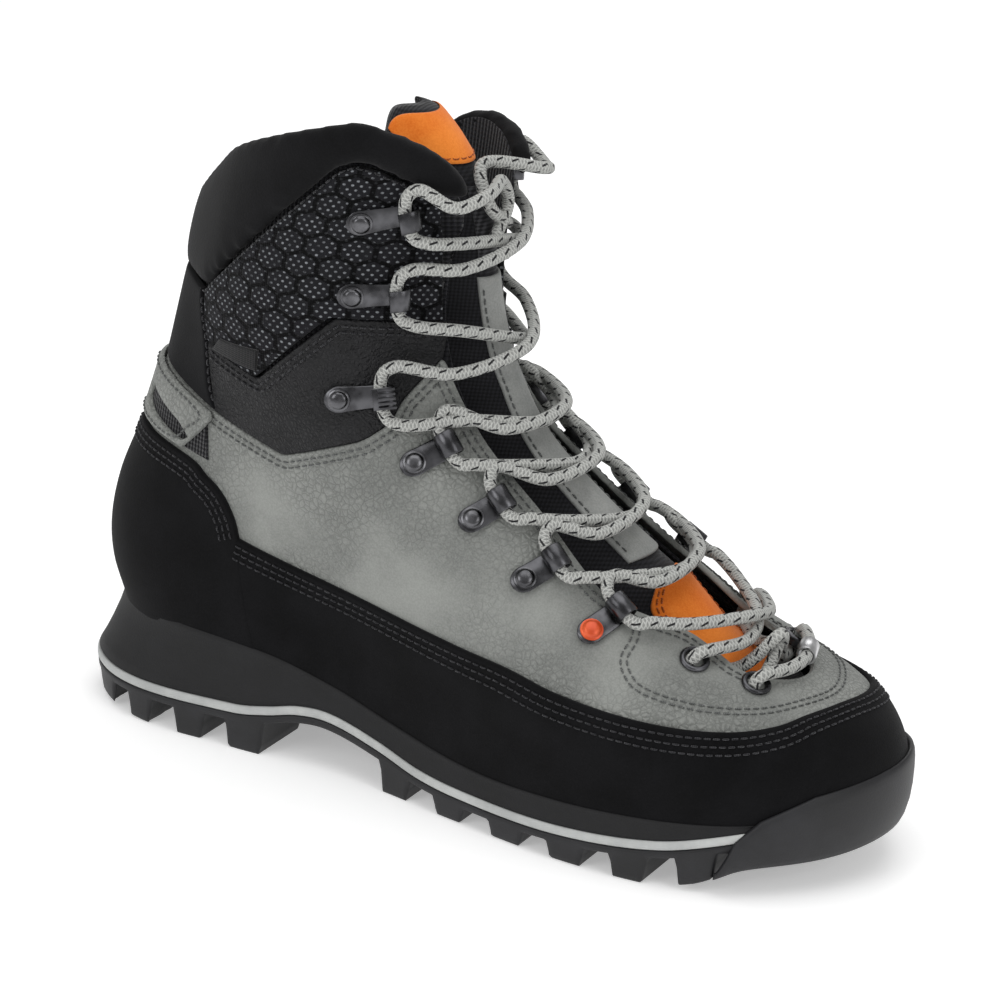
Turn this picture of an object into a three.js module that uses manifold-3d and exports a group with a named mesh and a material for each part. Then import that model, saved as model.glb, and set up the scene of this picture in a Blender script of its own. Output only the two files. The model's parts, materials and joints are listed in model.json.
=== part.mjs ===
// A hiking boot, right foot: sole unit, lasted upper, collar, tongue, lacing hardware and lace.
// Millimetres. X runs from heel to toe, Z up, the lateral side faces -Y.
import * as THREE from 'three';
import { mergeVertices } from 'three/addons/utils/BufferGeometryUtils.js';
import Module from 'manifold-3d';

const wasm = await Module();
wasm.setup();

// ---------------------------------------------------------------- driving sizes
const upperLength = 300; // heel to toe of the lasted upper
const upperWidth = 104; // across the ball
const collarHeight = 240; // ground to the top of the collar
const leather = 2.0; // upper leather
const overlay = 2.0; // rand and heel cap
const lining = 2.3; // bootie: lining, membrane and foam
const liningDepth = 3.9; // lining outside face below the leather face
const stiffener = 1.2; // heel counter and toe puff
const collarPadding = 2.6; // how far the padded collar stands proud
const fit = 0.3; // clearance between pieces that touch
const stripeThickness = 3.2;
const outsolePlate = 2.6;
const boardThickness = 2.0;
const footbedThickness = 4.5;
const shankThickness = 1.5;
const shankWidth = 26;
const bumperThickness = 2.2;
const tongueThickness = 6.0;
const trimThickness = 0.8; // suede pieces sewn on the tongue
const trimLift = 0.8; // their clearance over the tongue's facets
const webbing = 0.9; // heel webbing
const strapThickness = 1.6; // heel strap over the webbing
const laceDiameter = 4.4;
const laceClearance = 0.65; // lace to the bore of a ring or hook
const ringLength = 8.5;
const ringWall = 1.0;
const hookLength = 7.5;
const rivetShank = 3.2;
const rivetCap = 7.4;
const eyeletBore = 6.8;
const eyeletFlange = 10.0;
const tagLength = 8;
const tagWall = 0.7;

// Reference sizes of the last that the profiles below are drawn at.
const reference = { length: 300, width: 104, height: 240 };
const grade = {
  x: upperLength / reference.length,
  y: upperWidth / reference.width,
  z: collarHeight / reference.height,
};

// ---------------------------------------------------------------- curves
// Smooth curve through stations (x increasing), by cubic Hermite pieces.
function smooth(xs, ys, x) {
  const last = xs.length - 1;
  const at = Math.min(Math.max(x, xs[0]), xs[last]);
  let i = 0;
  while (i < last - 1 && at > xs[i + 1]) i += 1;
  const slope = (k) => {
    const a = Math.max(k - 1, 0);
    const b = Math.min(k + 1, last);
    return (ys[b] - ys[a]) / (xs[b] - xs[a]);
  };
  const h = xs[i + 1] - xs[i];
  const s = (at - xs[i]) / h;
  const rest = 1 - s;
  return (1 + 2 * s) * rest * rest * ys[i] + s * rest * rest * h * slope(i)
    + s * s * (3 - 2 * s) * ys[i + 1] - s * s * rest * h * slope(i + 1);
}

function lerp(a, b, s) {
  return a + (b - a) * s;
}

// ---------------------------------------------------------------- the last (foot form)
// Rings fan round the ankle. Ring v joins a point of the heel line to a point of the instep line.
const heelLine = [
  [7, 22], [2.5, 38], [-3.5, 52], [-5, 66], [-2.5, 82], [3, 98], [8, 114],
  [12, 130], [15, 146], [18, 163], [24, 187], [31, 214], [33, 226],
];
const instepLine = [
  [291, 6], [295, 22], [296, 40], [287, 55], [268, 64], [244, 73.5], [213, 91],
  [184, 110.5], [160, 131], [146, 157], [144, 190], [151, 228], [158, 256],
];
const stations = heelLine.map((point, i) => i);
const topRing = stations.length - 1;
// Half width over sin(angle), for shares of the ring from heel (0) to toe (1), at some rings.
const widthShare = [0, 0.05, 0.12, 0.22, 0.36, 0.53, 0.69, 0.82, 0.92, 1];
const widthRing = [0, 1, 3, 6, 8, 9, 12];
const widths = [
  [60, 58, 53, 44, 35.5, 42, 54, 66, 76, 80],
  [60, 58, 53, 44, 35.5, 42, 54, 66, 76, 80],
  [58, 57, 52, 44, 37, 43, 54, 63, 68, 70],
  [42, 42, 41, 41, 41, 42, 44, 47, 49, 49],
  [33, 34, 36, 40, 43, 44, 42, 38, 36, 36],
  [28, 30, 34, 40, 44, 45, 42, 37, 34, 34],
  [27, 30, 35, 41, 44, 44, 42, 38, 36, 36],
];
const swingShare = [0, 0.3, 0.6, 0.8, 1];
const swing = [0, 0, -1, 3, 11]; // centre line of the toe, towards the medial side
const swingFade = 7; // rings over which that swing dies away

// Point of the form: angle 0 is the instep line, +pi/2 the lateral side, pi the heel line.
function form(angle, v) {
  const share = (1 + Math.cos(angle)) / 2;
  const back = [0, 1].map((k) => smooth(stations, heelLine.map((p) => p[k]), v));
  const front = [0, 1].map((k) => smooth(stations, instepLine.map((p) => p[k]), v));
  const half = smooth(widthRing, widths.map((row) => smooth(widthShare, row, share)), v);
  const fade = Math.min(Math.max(1 - (v - 1) / swingFade, 0), 1);
  const y = smooth(swingShare, swing, share) * fade - half * Math.sin(angle);
  return new THREE.Vector3(
    lerp(back[0], front[0], share) * grade.x,
    y * grade.y,
    lerp(back[1], front[1], share) * grade.z,
  );
}

function formNormal(angle, v) {
  const step = 0.01;
  const low = Math.max(v - step, 0);
  const high = Math.min(v + step, topRing);
  const along = form(angle + step, v).sub(form(angle - step, v));
  const up = form(angle, high).sub(form(angle, low));
  return up.cross(along).normalize();
}

// Point at a height above the form's surface.
function above(angle, v, height) {
  return form(angle, v).addScaledVector(formNormal(angle, v), height);
}

// ---------------------------------------------------------------- solids
const around = 36; // facets round the form
// Rings that carry facet edges, closer together round the bend of the ankle.
const facetRings = [0, 0.9, 1.8, 2.7, 3.6, 4.5, 5.4, 6.2, 6.9, 7.5, 8.1, 8.7, 9.4, 10.2, 11.1, 12];

function toSolid(geometry) {
  const bare = geometry.clone();
  bare.deleteAttribute('normal');
  bare.deleteAttribute('uv');
  const merged = mergeVertices(bare, 1e-4);
  return new wasm.Manifold(new wasm.Mesh({
    numProp: 3,
    vertProperties: new Float32Array(merged.attributes.position.array),
    triVerts: new Uint32Array(merged.index.array),
  }));
}

function meshFromLists(points, faces) {
  const geometry = new THREE.BufferGeometry();
  const numbers = points.flatMap((p) => [p.x, p.y, p.z]);
  geometry.setAttribute('position', new THREE.Float32BufferAttribute(numbers, 3));
  geometry.setIndex(faces.flat());
  return geometry;
}

// Closed solid from loops of equal count; wrap = true joins the last loop to the first.
function stackedLoops(loops, wrap, flat = false) {
  const n = loops[0].length;
  const faces = [];
  const last = wrap ? loops.length : loops.length - 1;
  for (let j = 0; j < last; j += 1) {
    const a = j * n;
    const b = ((j + 1) % loops.length) * n;
    const down = wrap && j >= loops.length / 2; // the inner wall keeps the outer wall's diagonals
    for (let i = 0; i < n; i += 1) {
      const k = (i + 1) % n;
      if (down) faces.push([a + i, a + k, b + i], [a + k, b + k, b + i]);
      else faces.push([a + i, a + k, b + k], [a + i, b + k, b + i]);
    }
  }
  if (!wrap) {
    const cap = flat ? capBand : capLoop;
    cap(faces, 0, n, false);
    cap(faces, (loops.length - 1) * n, n, true);
  }
  return toSolid(meshFromLists(loops.flat(), faces));
}

function capFace(faces, start, flip) {
  return (a, b, c) => faces.push([a, flip ? b : c, flip ? c : b].map((i) => start + i));
}

// Fills the end of a slab whose loop runs along one face and back along the other.
function capBand(faces, start, n, flip) {
  const push = capFace(faces, start, flip);
  for (let i = 0; i < n / 2 - 1; i += 1) {
    const back = n - 1 - i;
    push(i, i + 1, back);
    push(i + 1, back - 1, back);
  }
}

// Fills a loop that is symmetric in index: strips between point i and point n - i.
function capLoop(faces, start, n, flip) {
  const push = capFace(faces, start, flip);
  push(0, 1, n - 1);
  for (let i = 1; i < n / 2 - 1; i += 1) {
    push(i, i + 1, n - i);
    push(i + 1, n - i - 1, n - i);
  }
  push(n / 2 - 1, n / 2, n / 2 + 1);
}

function angleAt(i) {
  return (-2 * Math.PI * i) / around;
}

function formLoop(v, height) {
  return Array.from({ length: around }, (_, i) => above(angleAt(i), v, height));
}

// Closed wall on the form between two heights, open at the collar and at the sole.
function wall(inner, outer) {
  const outside = facetRings.map((v) => formLoop(v, outer));
  const inside = facetRings.map((v) => formLoop(v, inner)).reverse();
  return stackedLoops([...outside, ...inside], true);
}

// Closed block: the whole form, filled, at a height above its surface.
function filledForm(height) {
  return stackedLoops(facetRings.map((v) => formLoop(v, height)), false);
}

function outline(points) {
  return new THREE.Shape(points.map(([x, y]) => new THREE.Vector2(x, y)));
}

// Prism of a side view outline (x, z at reference size), from y = low to y = high.
const beyond = 200;
function sideCut(points, low = -beyond, high = beyond) {
  const shape = outline(points.map(([x, z]) => [x * grade.x, z * grade.z]));
  const geometry = new THREE.ExtrudeGeometry(shape, { depth: high - low, bevelEnabled: false });
  geometry.rotateX(Math.PI / 2);
  geometry.translate(0, high, 0);
  return toSolid(geometry);
}

// Prism of a plan outline (x, y at reference size) between two heights.
function planCut(points, low = -beyond, high = 2 * beyond) {
  const shape = outline(points.map(([x, y]) => [x * grade.x, y * grade.y]));
  const geometry = new THREE.ExtrudeGeometry(shape, { depth: high - low, bevelEnabled: false });
  geometry.translate(0, 0, low);
  return toSolid(geometry);
}

const group = new THREE.Group();

// Finishes: base colour, roughness, metalness.
const finish = {
  nubuck: [0x8b8d89, 0.85, 0],
  blackLeather: [0x1c1c1e, 0.6, 0],
  microfibre: [0x17171a, 0.9, 0],
  mesh: [0x26262a, 0.95, 0],
  padding: [0x19191c, 0.95, 0],
  textile: [0x15151a, 0.9, 0],
  orange: [0xe87b22, 0.85, 0],
  rubber: [0x2b2b2d, 0.6, 0],
  foam: [0x18181a, 0.8, 0],
  stripe: [0xb9bbb9, 0.7, 0],
  metal: [0x55555a, 0.35, 0.9],
  accent: [0xe2562c, 0.4, 0.5],
  silver: [0xc9c9cc, 0.3, 0.9],
  lace: [0xb4b4b0, 0.9, 0],
  board: [0xb08b5e, 0.9, 0],
  liner: [0x3a3a3e, 0.95, 0],
};

function material(name) {
  const [color, roughness, metalness] = finish[name];
  return new THREE.MeshStandardMaterial({ color, roughness, metalness });
}

function add(name, solid, look) {
  const { vertProperties, triVerts } = solid.getMesh();
  const geometry = new THREE.BufferGeometry();
  geometry.setAttribute('position', new THREE.BufferAttribute(new Float32Array(vertProperties), 3));
  geometry.setIndex(Array.from(triVerts));
  const mesh = new THREE.Mesh(geometry, material(look));
  mesh.name = name;
  group.add(mesh);
}

function bothSides(make) {
  make('lateral', -beyond, 0);
  make('medial', 0, beyond);
}

// ---------------------------------------------------------------- sole unit
// Heights of the sole's lines along the boot, at reference size.
const soleLine = {
  ground: [[-10, 5], [5, 2], [20, 0.6], [40, 0], [232, 0], [250, 3], [265, 10], [292, 13.5], [310, 19]],
  stripe: [[-10, 12.5], [30, 13], [66, 14], [80, 16.5], [90, 19], [102, 19.5], [125, 15], [142, 11],
    [162, 9.5], [200, 10], [238, 14], [262, 20], [300, 30]],
  feather: [[-8, 44], [20, 43], [75, 40], [105, 33], [130, 27], [165, 22], [200, 22.5], [225, 24],
    [260, 26.5], [296, 30]],
};

function soleHeight(line, x) {
  const points = soleLine[line];
  return smooth(points.map((p) => p[0]), points.map((p) => p[1]), x / grade.x) * grade.z;
}

// Plan loop of the upper at the feather line, grown outwards by a margin.
const featherRing = 1;
function planLoop(margin, height) {
  return Array.from({ length: around }, (_, i) => {
    const angle = angleAt(i);
    const point = form(angle, featherRing);
    const tangent = form(angle + 0.01, featherRing).sub(form(angle - 0.01, featherRing));
    const out = new THREE.Vector3(-tangent.y, tangent.x, 0).normalize();
    point.addScaledVector(out, typeof margin === 'number' ? margin : margin(point.x));
    point.z = height(point.x);
    return point;
  });
}

function slab(levels) {
  return stackedLoops(levels.map(([margin, height]) => planLoop(margin, height)), false);
}

const wallMargin = 2.5; // sole wall beyond the leather
const heelFlare = 8.5; // extra at the back of the heel
const heelFlareLength = 60;
function flare(x) {
  const share = Math.min(Math.max(1 - x / heelFlareLength, 0), 1);
  return wallMargin + heelFlare * share * share * (3 - 2 * share);
}

const stripeLow = (x) => soleHeight('stripe', x);
const stripeHigh = (x) => stripeLow(x) + stripeThickness;
const feather = (x) => soleHeight('feather', x);
const ground = (x) => Math.max(soleHeight('ground', x), 0);
const raised = (line, lift) => (x) => line(x) + lift;
const between = (low, high, share) => (x) => lerp(low(x), high(x), share);

// The toe bumper of the outsole takes the place of midsole and stripe ahead of this slanted line.
const bumperFoot = [[260, 5], [260, 20], [268, 29], [281, 37], [294, 40], [330, 41], [330, 5]];
const gapX = fit / grade.x;
const behindBumper = [[-50, -20], [260 - gapX, -20], [260 - gapX, 20.3], [268 - gapX, 29.4],
  [281, 37.5], [281, 80], [-50, 80]];

function makeShankSolids() {
  const [start, end] = [58, 176];
  const steps = 12;
  const band = (low, high, from, to) => {
    const xs = Array.from({ length: steps + 1 }, (_, i) => lerp(from, to, i / steps));
    const z = (x, lift) => (feather(x * grade.x) + lift) / grade.z;
    return [...xs.map((x) => [x, z(x, low)]), ...xs.reverse().map((x) => [x, z(x, high)])];
  };
  const sunk = 3 * fit; // below the board, whose underside follows the same curve in longer facets
  const depth = shankThickness + sunk + fit;
  const recess = sideCut(band(-depth, 3, start, end), -shankWidth / 2 - fit, shankWidth / 2 + fit);
  const bar = sideCut(band(-depth + fit, -sunk, start + gapX, end - gapX), -shankWidth / 2, shankWidth / 2);
  return { recess, bar };
}

function makeSole() {
  const { recess, bar } = makeShankSolids();
  const top = raised(feather, -fit);
  const low = raised(stripeHigh, fit);
  const waist = (x) => lerp(wallMargin - 0.6, flare(x), 0.25);
  const body = slab([
    [flare, low],
    [(x) => lerp(flare(x), wallMargin, 0.35), between(low, top, 0.35)],
    [waist, between(low, top, 0.8)],
    [wallMargin, top],
  ]).intersect(sideCut(behindBumper));
  add('midsole', body.subtract(recess), 'foam');
  add('shank', bar, 'silver');
  const stripe = slab([[flare, stripeLow], [flare, stripeHigh]]).intersect(sideCut(behindBumper));
  add('midsole_stripe', stripe, 'stripe');
  add('outsole', makeOutsole(top), 'rubber');
  const boardInset = -leather - 3 * fit;
  add('lasting_board', slab([[boardInset, feather], [boardInset, raised(feather, boardThickness)]]), 'board');
}

// Lug edges along the boot: [start, end] of each tread bar at the ground.
const heelBars = [[2, 12], [21, 31], [42, 53], [63, 77]];
const foreBars = [[126, 138], [150, 162], [174, 187], [198, 211], [222, 234], [245, 257]];
const lugDraft = 2.2;
const channel = 9; // half width of the channel between side lugs
const centreLugs = [[12, 34], [48, 68], [136, 156], [166, 188], [198, 220], [230, 248]];
const centreHalf = 6;

const lugTop = 26; // the lugs run up into the plate
// Side view of a lug: it widens upwards by the draft.
function tooth([start, end]) {
  const foot = [[start, 0.2], [start, -5], [end, -5], [end, 0.2]];
  return [...foot, [end + lugDraft, lugTop], [start - lugDraft, lugTop]];
}

function makeOutsole(top) {
  const plateTop = raised(stripeLow, -fit);
  const plateLow = raised(stripeLow, -fit - outsolePlate);
  const inset = (x) => flare(x) - 0.8;
  const endX = bumperFoot[0][0] + 3; // the plate laps into the bumper
  const plateEnd = [[-50, -20], [endX, -20], [endX, 60], [-50, 60]];
  let sole = slab([[inset, plateLow], [flare, plateTop]]).intersect(sideCut(plateEnd));
  const treadSpace = slab([[(x) => flare(x) - 3.5, ground], [inset, raised(plateLow, 0.5)]]);
  for (const bar of [...heelBars, ...foreBars]) {
    for (const [a, b] of [[-beyond, -channel], [channel, beyond]]) {
      sole = sole.add(treadSpace.intersect(sideCut(tooth(bar), a, b)));
    }
  }
  for (const bar of centreLugs) {
    sole = sole.add(treadSpace.intersect(sideCut(tooth(bar), -centreHalf, centreHalf)));
  }
  return sole.add(makeBumper(top));
}

function makeBumper(top) {
  const outer = wallMargin + bumperThickness;
  const shell = slab([
    [outer - 3, ground],
    [outer, raised(ground, 8)],
    [outer, raised(ground, 40)],
  ]).intersect(sideCut(bumperFoot));
  const upper = filledForm(overlay + 2 * fit);
  const overFeather = slab([[40, top], [40, raised(top, 120)]]);
  const inside = upper.intersect(overFeather);
  return shell.subtract(inside);
}

// ---------------------------------------------------------------- lacing sites
// Each place on the form: [angle, ring] of the lace loop and of its rivet.
const ringSites = [
  [[0.62, 5.55], [0.84, 5.12]],
  [[0.72, 6.2], [0.95, 5.78]],
  [[0.77, 7.0], [0.99, 6.62]],
  [[0.86, 7.78], [1.1, 7.38]],
];
const hookSites = [
  [[1.08, 8.42], [1.33, 8.22]],
  [[0.97, 9.7], [1.22, 9.66]],
  [[1.0, 10.53], [1.25, 10.45]],
];
const eyeletSites = [
  [0.36, 4.26],
  [0.5, 4.82],
];
// Rings by which the medial ones sit higher.
const medialRise = { rings: [0.18, 0.18, 0.18, 0], hooks: [0.06, 0, 0], eyelets: [0.18, 0.18] };

function mirrored([angle, v], side, rise) {
  return side < 0 ? [angle, v] : [-angle, v + rise];
}

// Frame at a site: origin on the leather, n away from it, out from the loop to the rivet,
// up along the throat.
function siteFrame([loop, rivet], side, rise) {
  const [angle, v] = mirrored(loop, side, rise);
  const [rivetAngle, rivetV] = mirrored(rivet, side, rise);
  const origin = above(angle, v, 0);
  const seat = above(rivetAngle, rivetV, 0);
  const n = formNormal(lerp(angle, rivetAngle, 0.5), lerp(v, rivetV, 0.5));
  const out = seat.clone().sub(origin);
  out.addScaledVector(n, -out.dot(n)).normalize();
  const up = n.clone().cross(out).normalize();
  if (up.z < 0) up.negate();
  const reach = seat.clone().sub(origin).dot(out);
  const lift = crest([angle, v], [rivetAngle, rivetV], origin, n) + 2 * fit;
  return { origin, seat, n, out, up, reach, lift, angle, v };
}

// Highest that the leather comes over a strap's seat plane, from the loop to past the rivet.
function crest(loop, rivet, origin, n) {
  let high = 0;
  for (const share of [-0.25, 0, 0.25, 0.5, 0.75, 1, 1.3]) {
    for (const slip of [-0.18, 0, 0.18]) {
      const point = above(lerp(loop[0], rivet[0], share), lerp(loop[1], rivet[1], share) + slip, 0);
      high = Math.max(high, point.sub(origin).dot(n));
    }
  }
  return high;
}

// Puts geometry drawn in (x = out, y = n, z = along) onto a frame.
function place(solid, origin, x, y, z) {
  const columns = [...x.toArray(), 0, ...y.toArray(), 0, ...z.toArray(), 0, ...origin.toArray(), 1];
  return solid.transform(columns);
}

function profileSolid(shape, length) {
  const geometry = new THREE.ExtrudeGeometry(shape, { depth: length, bevelEnabled: false, curveSegments: 5 });
  geometry.translate(0, 0, -length / 2);
  return toSolid(geometry);
}

function cylinder(radius, low, high, sides = 16) {
  const geometry = new THREE.CylinderGeometry(radius, radius, high - low, sides);
  geometry.translate(0, (low + high) / 2, 0);
  return toSolid(geometry);
}

function lathe(points, sides = 16) {
  const profile = points.map(([r, y]) => new THREE.Vector2(r, y)).reverse();
  return toSolid(new THREE.LatheGeometry(profile, sides));
}

const loopRadius = laceDiameter / 2 + laceClearance;
const laceHeight = (frame) => frame.lift + ringWall + loopRadius;

// Ring: a strap under the rivet that closes round the lace at the throat edge.
const strapEnd = 4.4; // strap beyond the rivet
function ringShape(frame) {
  const { reach, lift } = frame;
  const middle = laceHeight(frame);
  const outer = loopRadius + ringWall;
  const shape = new THREE.Shape();
  shape.moveTo(reach + strapEnd, lift);
  shape.lineTo(reach + strapEnd, lift + ringWall);
  shape.lineTo(outer + 0.6, lift + ringWall);
  shape.absarc(0, middle, outer, -0.35, Math.PI * 1.5, false);
  const hole = new THREE.Path();
  hole.absarc(0, middle, loopRadius, 0, 2 * Math.PI, true);
  shape.holes.push(hole);
  return shape;
}

// Hook: the strap turns up on the throat side and back over the lace, open away from the throat.
function hookShape(frame) {
  const { reach, lift } = frame;
  const middle = laceHeight(frame);
  const outer = loopRadius + ringWall;
  const shape = new THREE.Shape();
  shape.moveTo(reach + strapEnd, lift);
  shape.lineTo(reach + strapEnd, lift + ringWall);
  shape.lineTo(0, lift + ringWall);
  shape.absarc(0, middle, loopRadius, -Math.PI / 2, Math.PI / 2, true);
  shape.lineTo(3.2, middle + loopRadius + 0.5);
  shape.lineTo(3.4, middle + outer + 0.5);
  shape.lineTo(0, middle + outer);
  shape.absarc(0, middle, outer, Math.PI / 2, Math.PI * 1.5, false);
  return shape;
}

const rivetHole = rivetShank / 2 + fit;
const backWasher = 2.6;
const washerThickness = 0.3;

function rivetSolid(lift) {
  const top = lift + ringWall + 1.5 * fit;
  const back = -leather - 3.8 * fit;
  return lathe([
    [0, top + 2.2], [rivetCap * 0.32, top + 1.8], [rivetCap / 2, top], [rivetShank / 2, top],
    [rivetShank / 2, back], [backWasher, back], [backWasher, back - washerThickness],
    [0, back - washerThickness],
  ], 8);
}

function eyeletSolid(lift) {
  const bore = eyeletBore / 2;
  const barrel = bore + 0.7;
  const back = -leather - 2 * fit;
  return lathe([
    [bore, lift], [bore + 0.5, lift + 0.9], [eyeletFlange / 2 - 0.6, lift + 0.7], [eyeletFlange / 2, lift],
    [barrel, lift], [barrel, back], [barrel + 0.9, back], [barrel + 0.9, back - 0.5],
    [bore, back - 0.5], [bore, lift],
  ], 12);
}

const label = ({ side, i }) => `${side < 0 ? 'lateral' : 'medial'}_${i + 1}`;
const sites = { rings: [], hooks: [], eyelets: [] };

function layOutSites() {
  for (const side of [-1, 1]) {
    ringSites.forEach((site, i) => {
      sites.rings.push({ side, i, ...siteFrame(site, side, medialRise.rings[i]) });
    });
    hookSites.forEach((site, i) => {
      sites.hooks.push({ side, i, ...siteFrame(site, side, medialRise.hooks[i]) });
    });
    eyeletSites.forEach((site, i) => {
      sites.eyelets.push({ side, i, ...eyeletFrame(site, side, medialRise.eyelets[i]) });
    });
  }
}

function eyeletFrame(site, side, rise) {
  const [angle, v] = mirrored(site, side, rise);
  const n = formNormal(angle, v);
  const origin = above(angle, v, 0);
  const x = form(angle + 0.05, v).sub(origin).normalize();
  const z = x.clone().cross(n).normalize();
  const lift = roundCrest(angle, v, origin, n) + 2 * fit;
  return { angle, v, origin, n, x, z, lift };
}

// Highest that the leather comes over an eyelet's seat plane, round its flange.
function roundCrest(angle, v, origin, n) {
  const step = 0.05;
  const perAngle = form(angle + step, v).distanceTo(origin) / step;
  const perRing = form(angle, v + step).distanceTo(origin) / step;
  let high = 0;
  for (let k = 0; k < 8; k += 1) {
    const turn = (k * Math.PI) / 4;
    const da = (eyeletFlange / 2 / perAngle) * Math.cos(turn);
    const dv = (eyeletFlange / 2 / perRing) * Math.sin(turn);
    high = Math.max(high, form(angle + da, v + dv).sub(origin).dot(n));
  }
  return high;
}

function along(frame) {
  return frame.out.clone().cross(frame.n).normalize();
}

// Holes that the fasteners need in the leather.
function fastenerHoles() {
  const holes = [];
  for (const frame of [...sites.rings, ...sites.hooks]) {
    const drill = cylinder(rivetHole, -6, 6, 12);
    holes.push(place(drill, frame.seat, frame.out, frame.n, along(frame)));
  }
  for (const eyelet of sites.eyelets) {
    const drill = cylinder(eyeletBore / 2 + 0.7 + fit, -4, 4, 16);
    holes.push(place(drill, eyelet.origin, eyelet.x, eyelet.n, eyelet.z));
  }
  return holes.reduce((sum, hole) => sum.add(hole));
}

function makeHardware() {
  for (const frame of sites.rings) {
    const rivetLook = frame.i === 0 ? 'accent' : 'metal';
    addFastener('ring', frame, profileSolid(ringShape(frame), ringLength), rivetLook);
  }
  for (const frame of sites.hooks) {
    addFastener('hook', frame, profileSolid(hookShape(frame), hookLength), 'metal');
  }
  for (const eyelet of sites.eyelets) {
    const solid = place(eyeletSolid(eyelet.lift), eyelet.origin, eyelet.x, eyelet.n, eyelet.z);
    add(`eyelet_${label(eyelet)}`, solid, 'metal');
  }
}

// A ring or hook, drilled for its rivet, and the rivet.
function addFastener(kind, frame, body, rivetLook) {
  const drill = cylinder(rivetHole, -6, 6, 12).translate(frame.reach, 0, 0);
  const seated = (solid, origin) => place(solid, origin, frame.out, frame.n, along(frame));
  const foot = frame.origin.clone().addScaledVector(frame.out, frame.reach);
  add(`${kind}_${label(frame)}`, seated(body.subtract(drill), frame.origin), 'metal');
  add(`${kind}_rivet_${label(frame)}`, seated(rivetSolid(frame.lift), foot), rivetLook);
}

// ---------------------------------------------------------------- upper pattern pieces
// Side view seam lines (x, z), heel to toe, at reference size.
const quarterTop = [[-25, 130.5], [14, 129], [50, 121], [81, 115], [133, 136], [150, 141]];
const ankleZigzag = [[43, 146], [70, 141], [99, 169], [140, 169]];
const stayFront = [[49, 121.3], [46, 126], [43, 144], [36.5, 163]];
const collarLow = [[-25, 163.5], [20, 163.8], [38, 163], [57, 182], [80, 205], [97, 222.5], [103, 225],
  [115, 221.5], [122, 218], [150, 205]];
const topline = [[-25, 200], [27, 200], [31, 207], [48, 218.5], [78, 231.5], [94, 238], [105, 239.5],
  [117, 236.5], [129, 230.5], [137, 219], [141, 211], [150, 205]];
const heelCapTop = [[-25, 106.5], [6, 105.5], [36, 101.5], [50, 93.5], [58, 86.5], [64, 79]];
const heelCapFront = [[67, 65], [69, 55], [76, 41]];
const randTop = [[64, 79], [90, 72], [116, 69], [155, 65], [189, 62], [205, 58], [227, 57], [254, 57.5],
  [272, 61.5], [285, 63], [330, 64]];
const strapFront = [[34, 103.2], [48.6, 119.6]];
const slot = [[12.5, 111], [16, 108.6], [34, 104.6], [37.5, 107], [35, 110], [18, 116], [13.5, 115.5]];
// Plan outline of the open throat, lateral half; it runs on up the front of the shaft.
const throatEdge = [[261, 0], [259.5, 7], [255.5, 12], [247, 14], [237, 13.5], [229, 14.5], [218, 20.5],
  [203, 27], [190, 25.5], [176, 23], [152, 21.5], [137, 21], [130, 23.5], [122, 27], [100, 26]];

function shifted(points, dz) {
  return points.map(([x, z]) => [x, z + dz / grade.z]);
}

// The collar stands lower on the medial side: [x, drop] of its top line.
const medialDrop = [[25, 0], [60, 12], [95, 17], [115, 9], [135, 3], [141, 0]];
const medialCollarLow = [[-25, 163.5], [20, 163.8], [38, 163], [57, 172], [80, 190], [97, 207],
  [105, 217], [112, 221.5], [122, 218], [150, 205]];

function lowered(points) {
  const xs = medialDrop.map(([x]) => x);
  const drops = medialDrop.map(([, drop]) => drop);
  return points.map(([x, z]) => [x, z - smooth(xs, drops, Math.min(Math.max(x, xs[0]), xs[xs.length - 1]))]);
}

const collarLines = {
  lateral: { low: collarLow, top: topline },
  medial: { low: medialCollarLow, top: lowered(topline) },
};

function bandBetween(lowLine, highLine) {
  return [...lowLine, ...[...highLine].reverse()];
}

function throat(spread = 0) {
  const [[tip], ...edge] = throatEdge;
  const grown = edge.map(([x, y]) => [x, y + spread / grade.y]);
  const lateral = grown.map(([x, y]) => [x, -y]);
  return planCut([[tip + spread / grade.x, 0], ...lateral, ...grown.reverse()]);
}

// Side view points along the feather line, raised by a lift.
function featherLine(lift, from = -30, to = 310) {
  const steps = Math.ceil((to - from) / 12.6);
  const xs = Array.from({ length: steps + 1 }, (_, i) => lerp(from, to, i / steps));
  return xs.map((x) => [x, (feather(x * grade.x) + lift) / grade.z]);
}

function makeUpper() {
  const holes = fastenerHoles();
  const open = throat();
  const skin = wall(-leather, 0).subtract(open).subtract(holes);
  const quarter = [...featherLine(fit), [330, 150], ...[...quarterTop].reverse()];
  add('upper_leather', skin.intersect(sideCut(quarter)), 'nubuck');
  const stay = [...shifted(quarterTop.slice(0, 2), fit), ...stayFront, [-25, 163.2]];
  add('back_stay', skin.intersect(sideCut(stay)), 'blackLeather');
  makeAnkleAndCuff(skin);
  makeCollar(open);
  makeOverlays();
  makeLining();
}

function makeAnkleAndCuff(skin) {
  const front = shifted(quarterTop.slice(2), fit);
  const zigzag = [...ankleZigzag].reverse();
  const ankle = [[49.4, 121.6], ...front, [150, 169], ...zigzag, [43.3, 144], [46.3, 126]];
  bothSides((side, low, high) => {
    const underCollar = shifted(collarLines[side].low.slice(2), -fit).reverse();
    const cuff = [...shifted(ankleZigzag, fit), [150, 169.3], ...underCollar, [37, 162.6]];
    add(`ankle_panel_${side}`, skin.intersect(sideCut(ankle, low, high)), 'blackLeather');
    add(`cuff_panel_${side}`, skin.intersect(sideCut(cuff, low, high)), 'mesh');
  });
}

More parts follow.
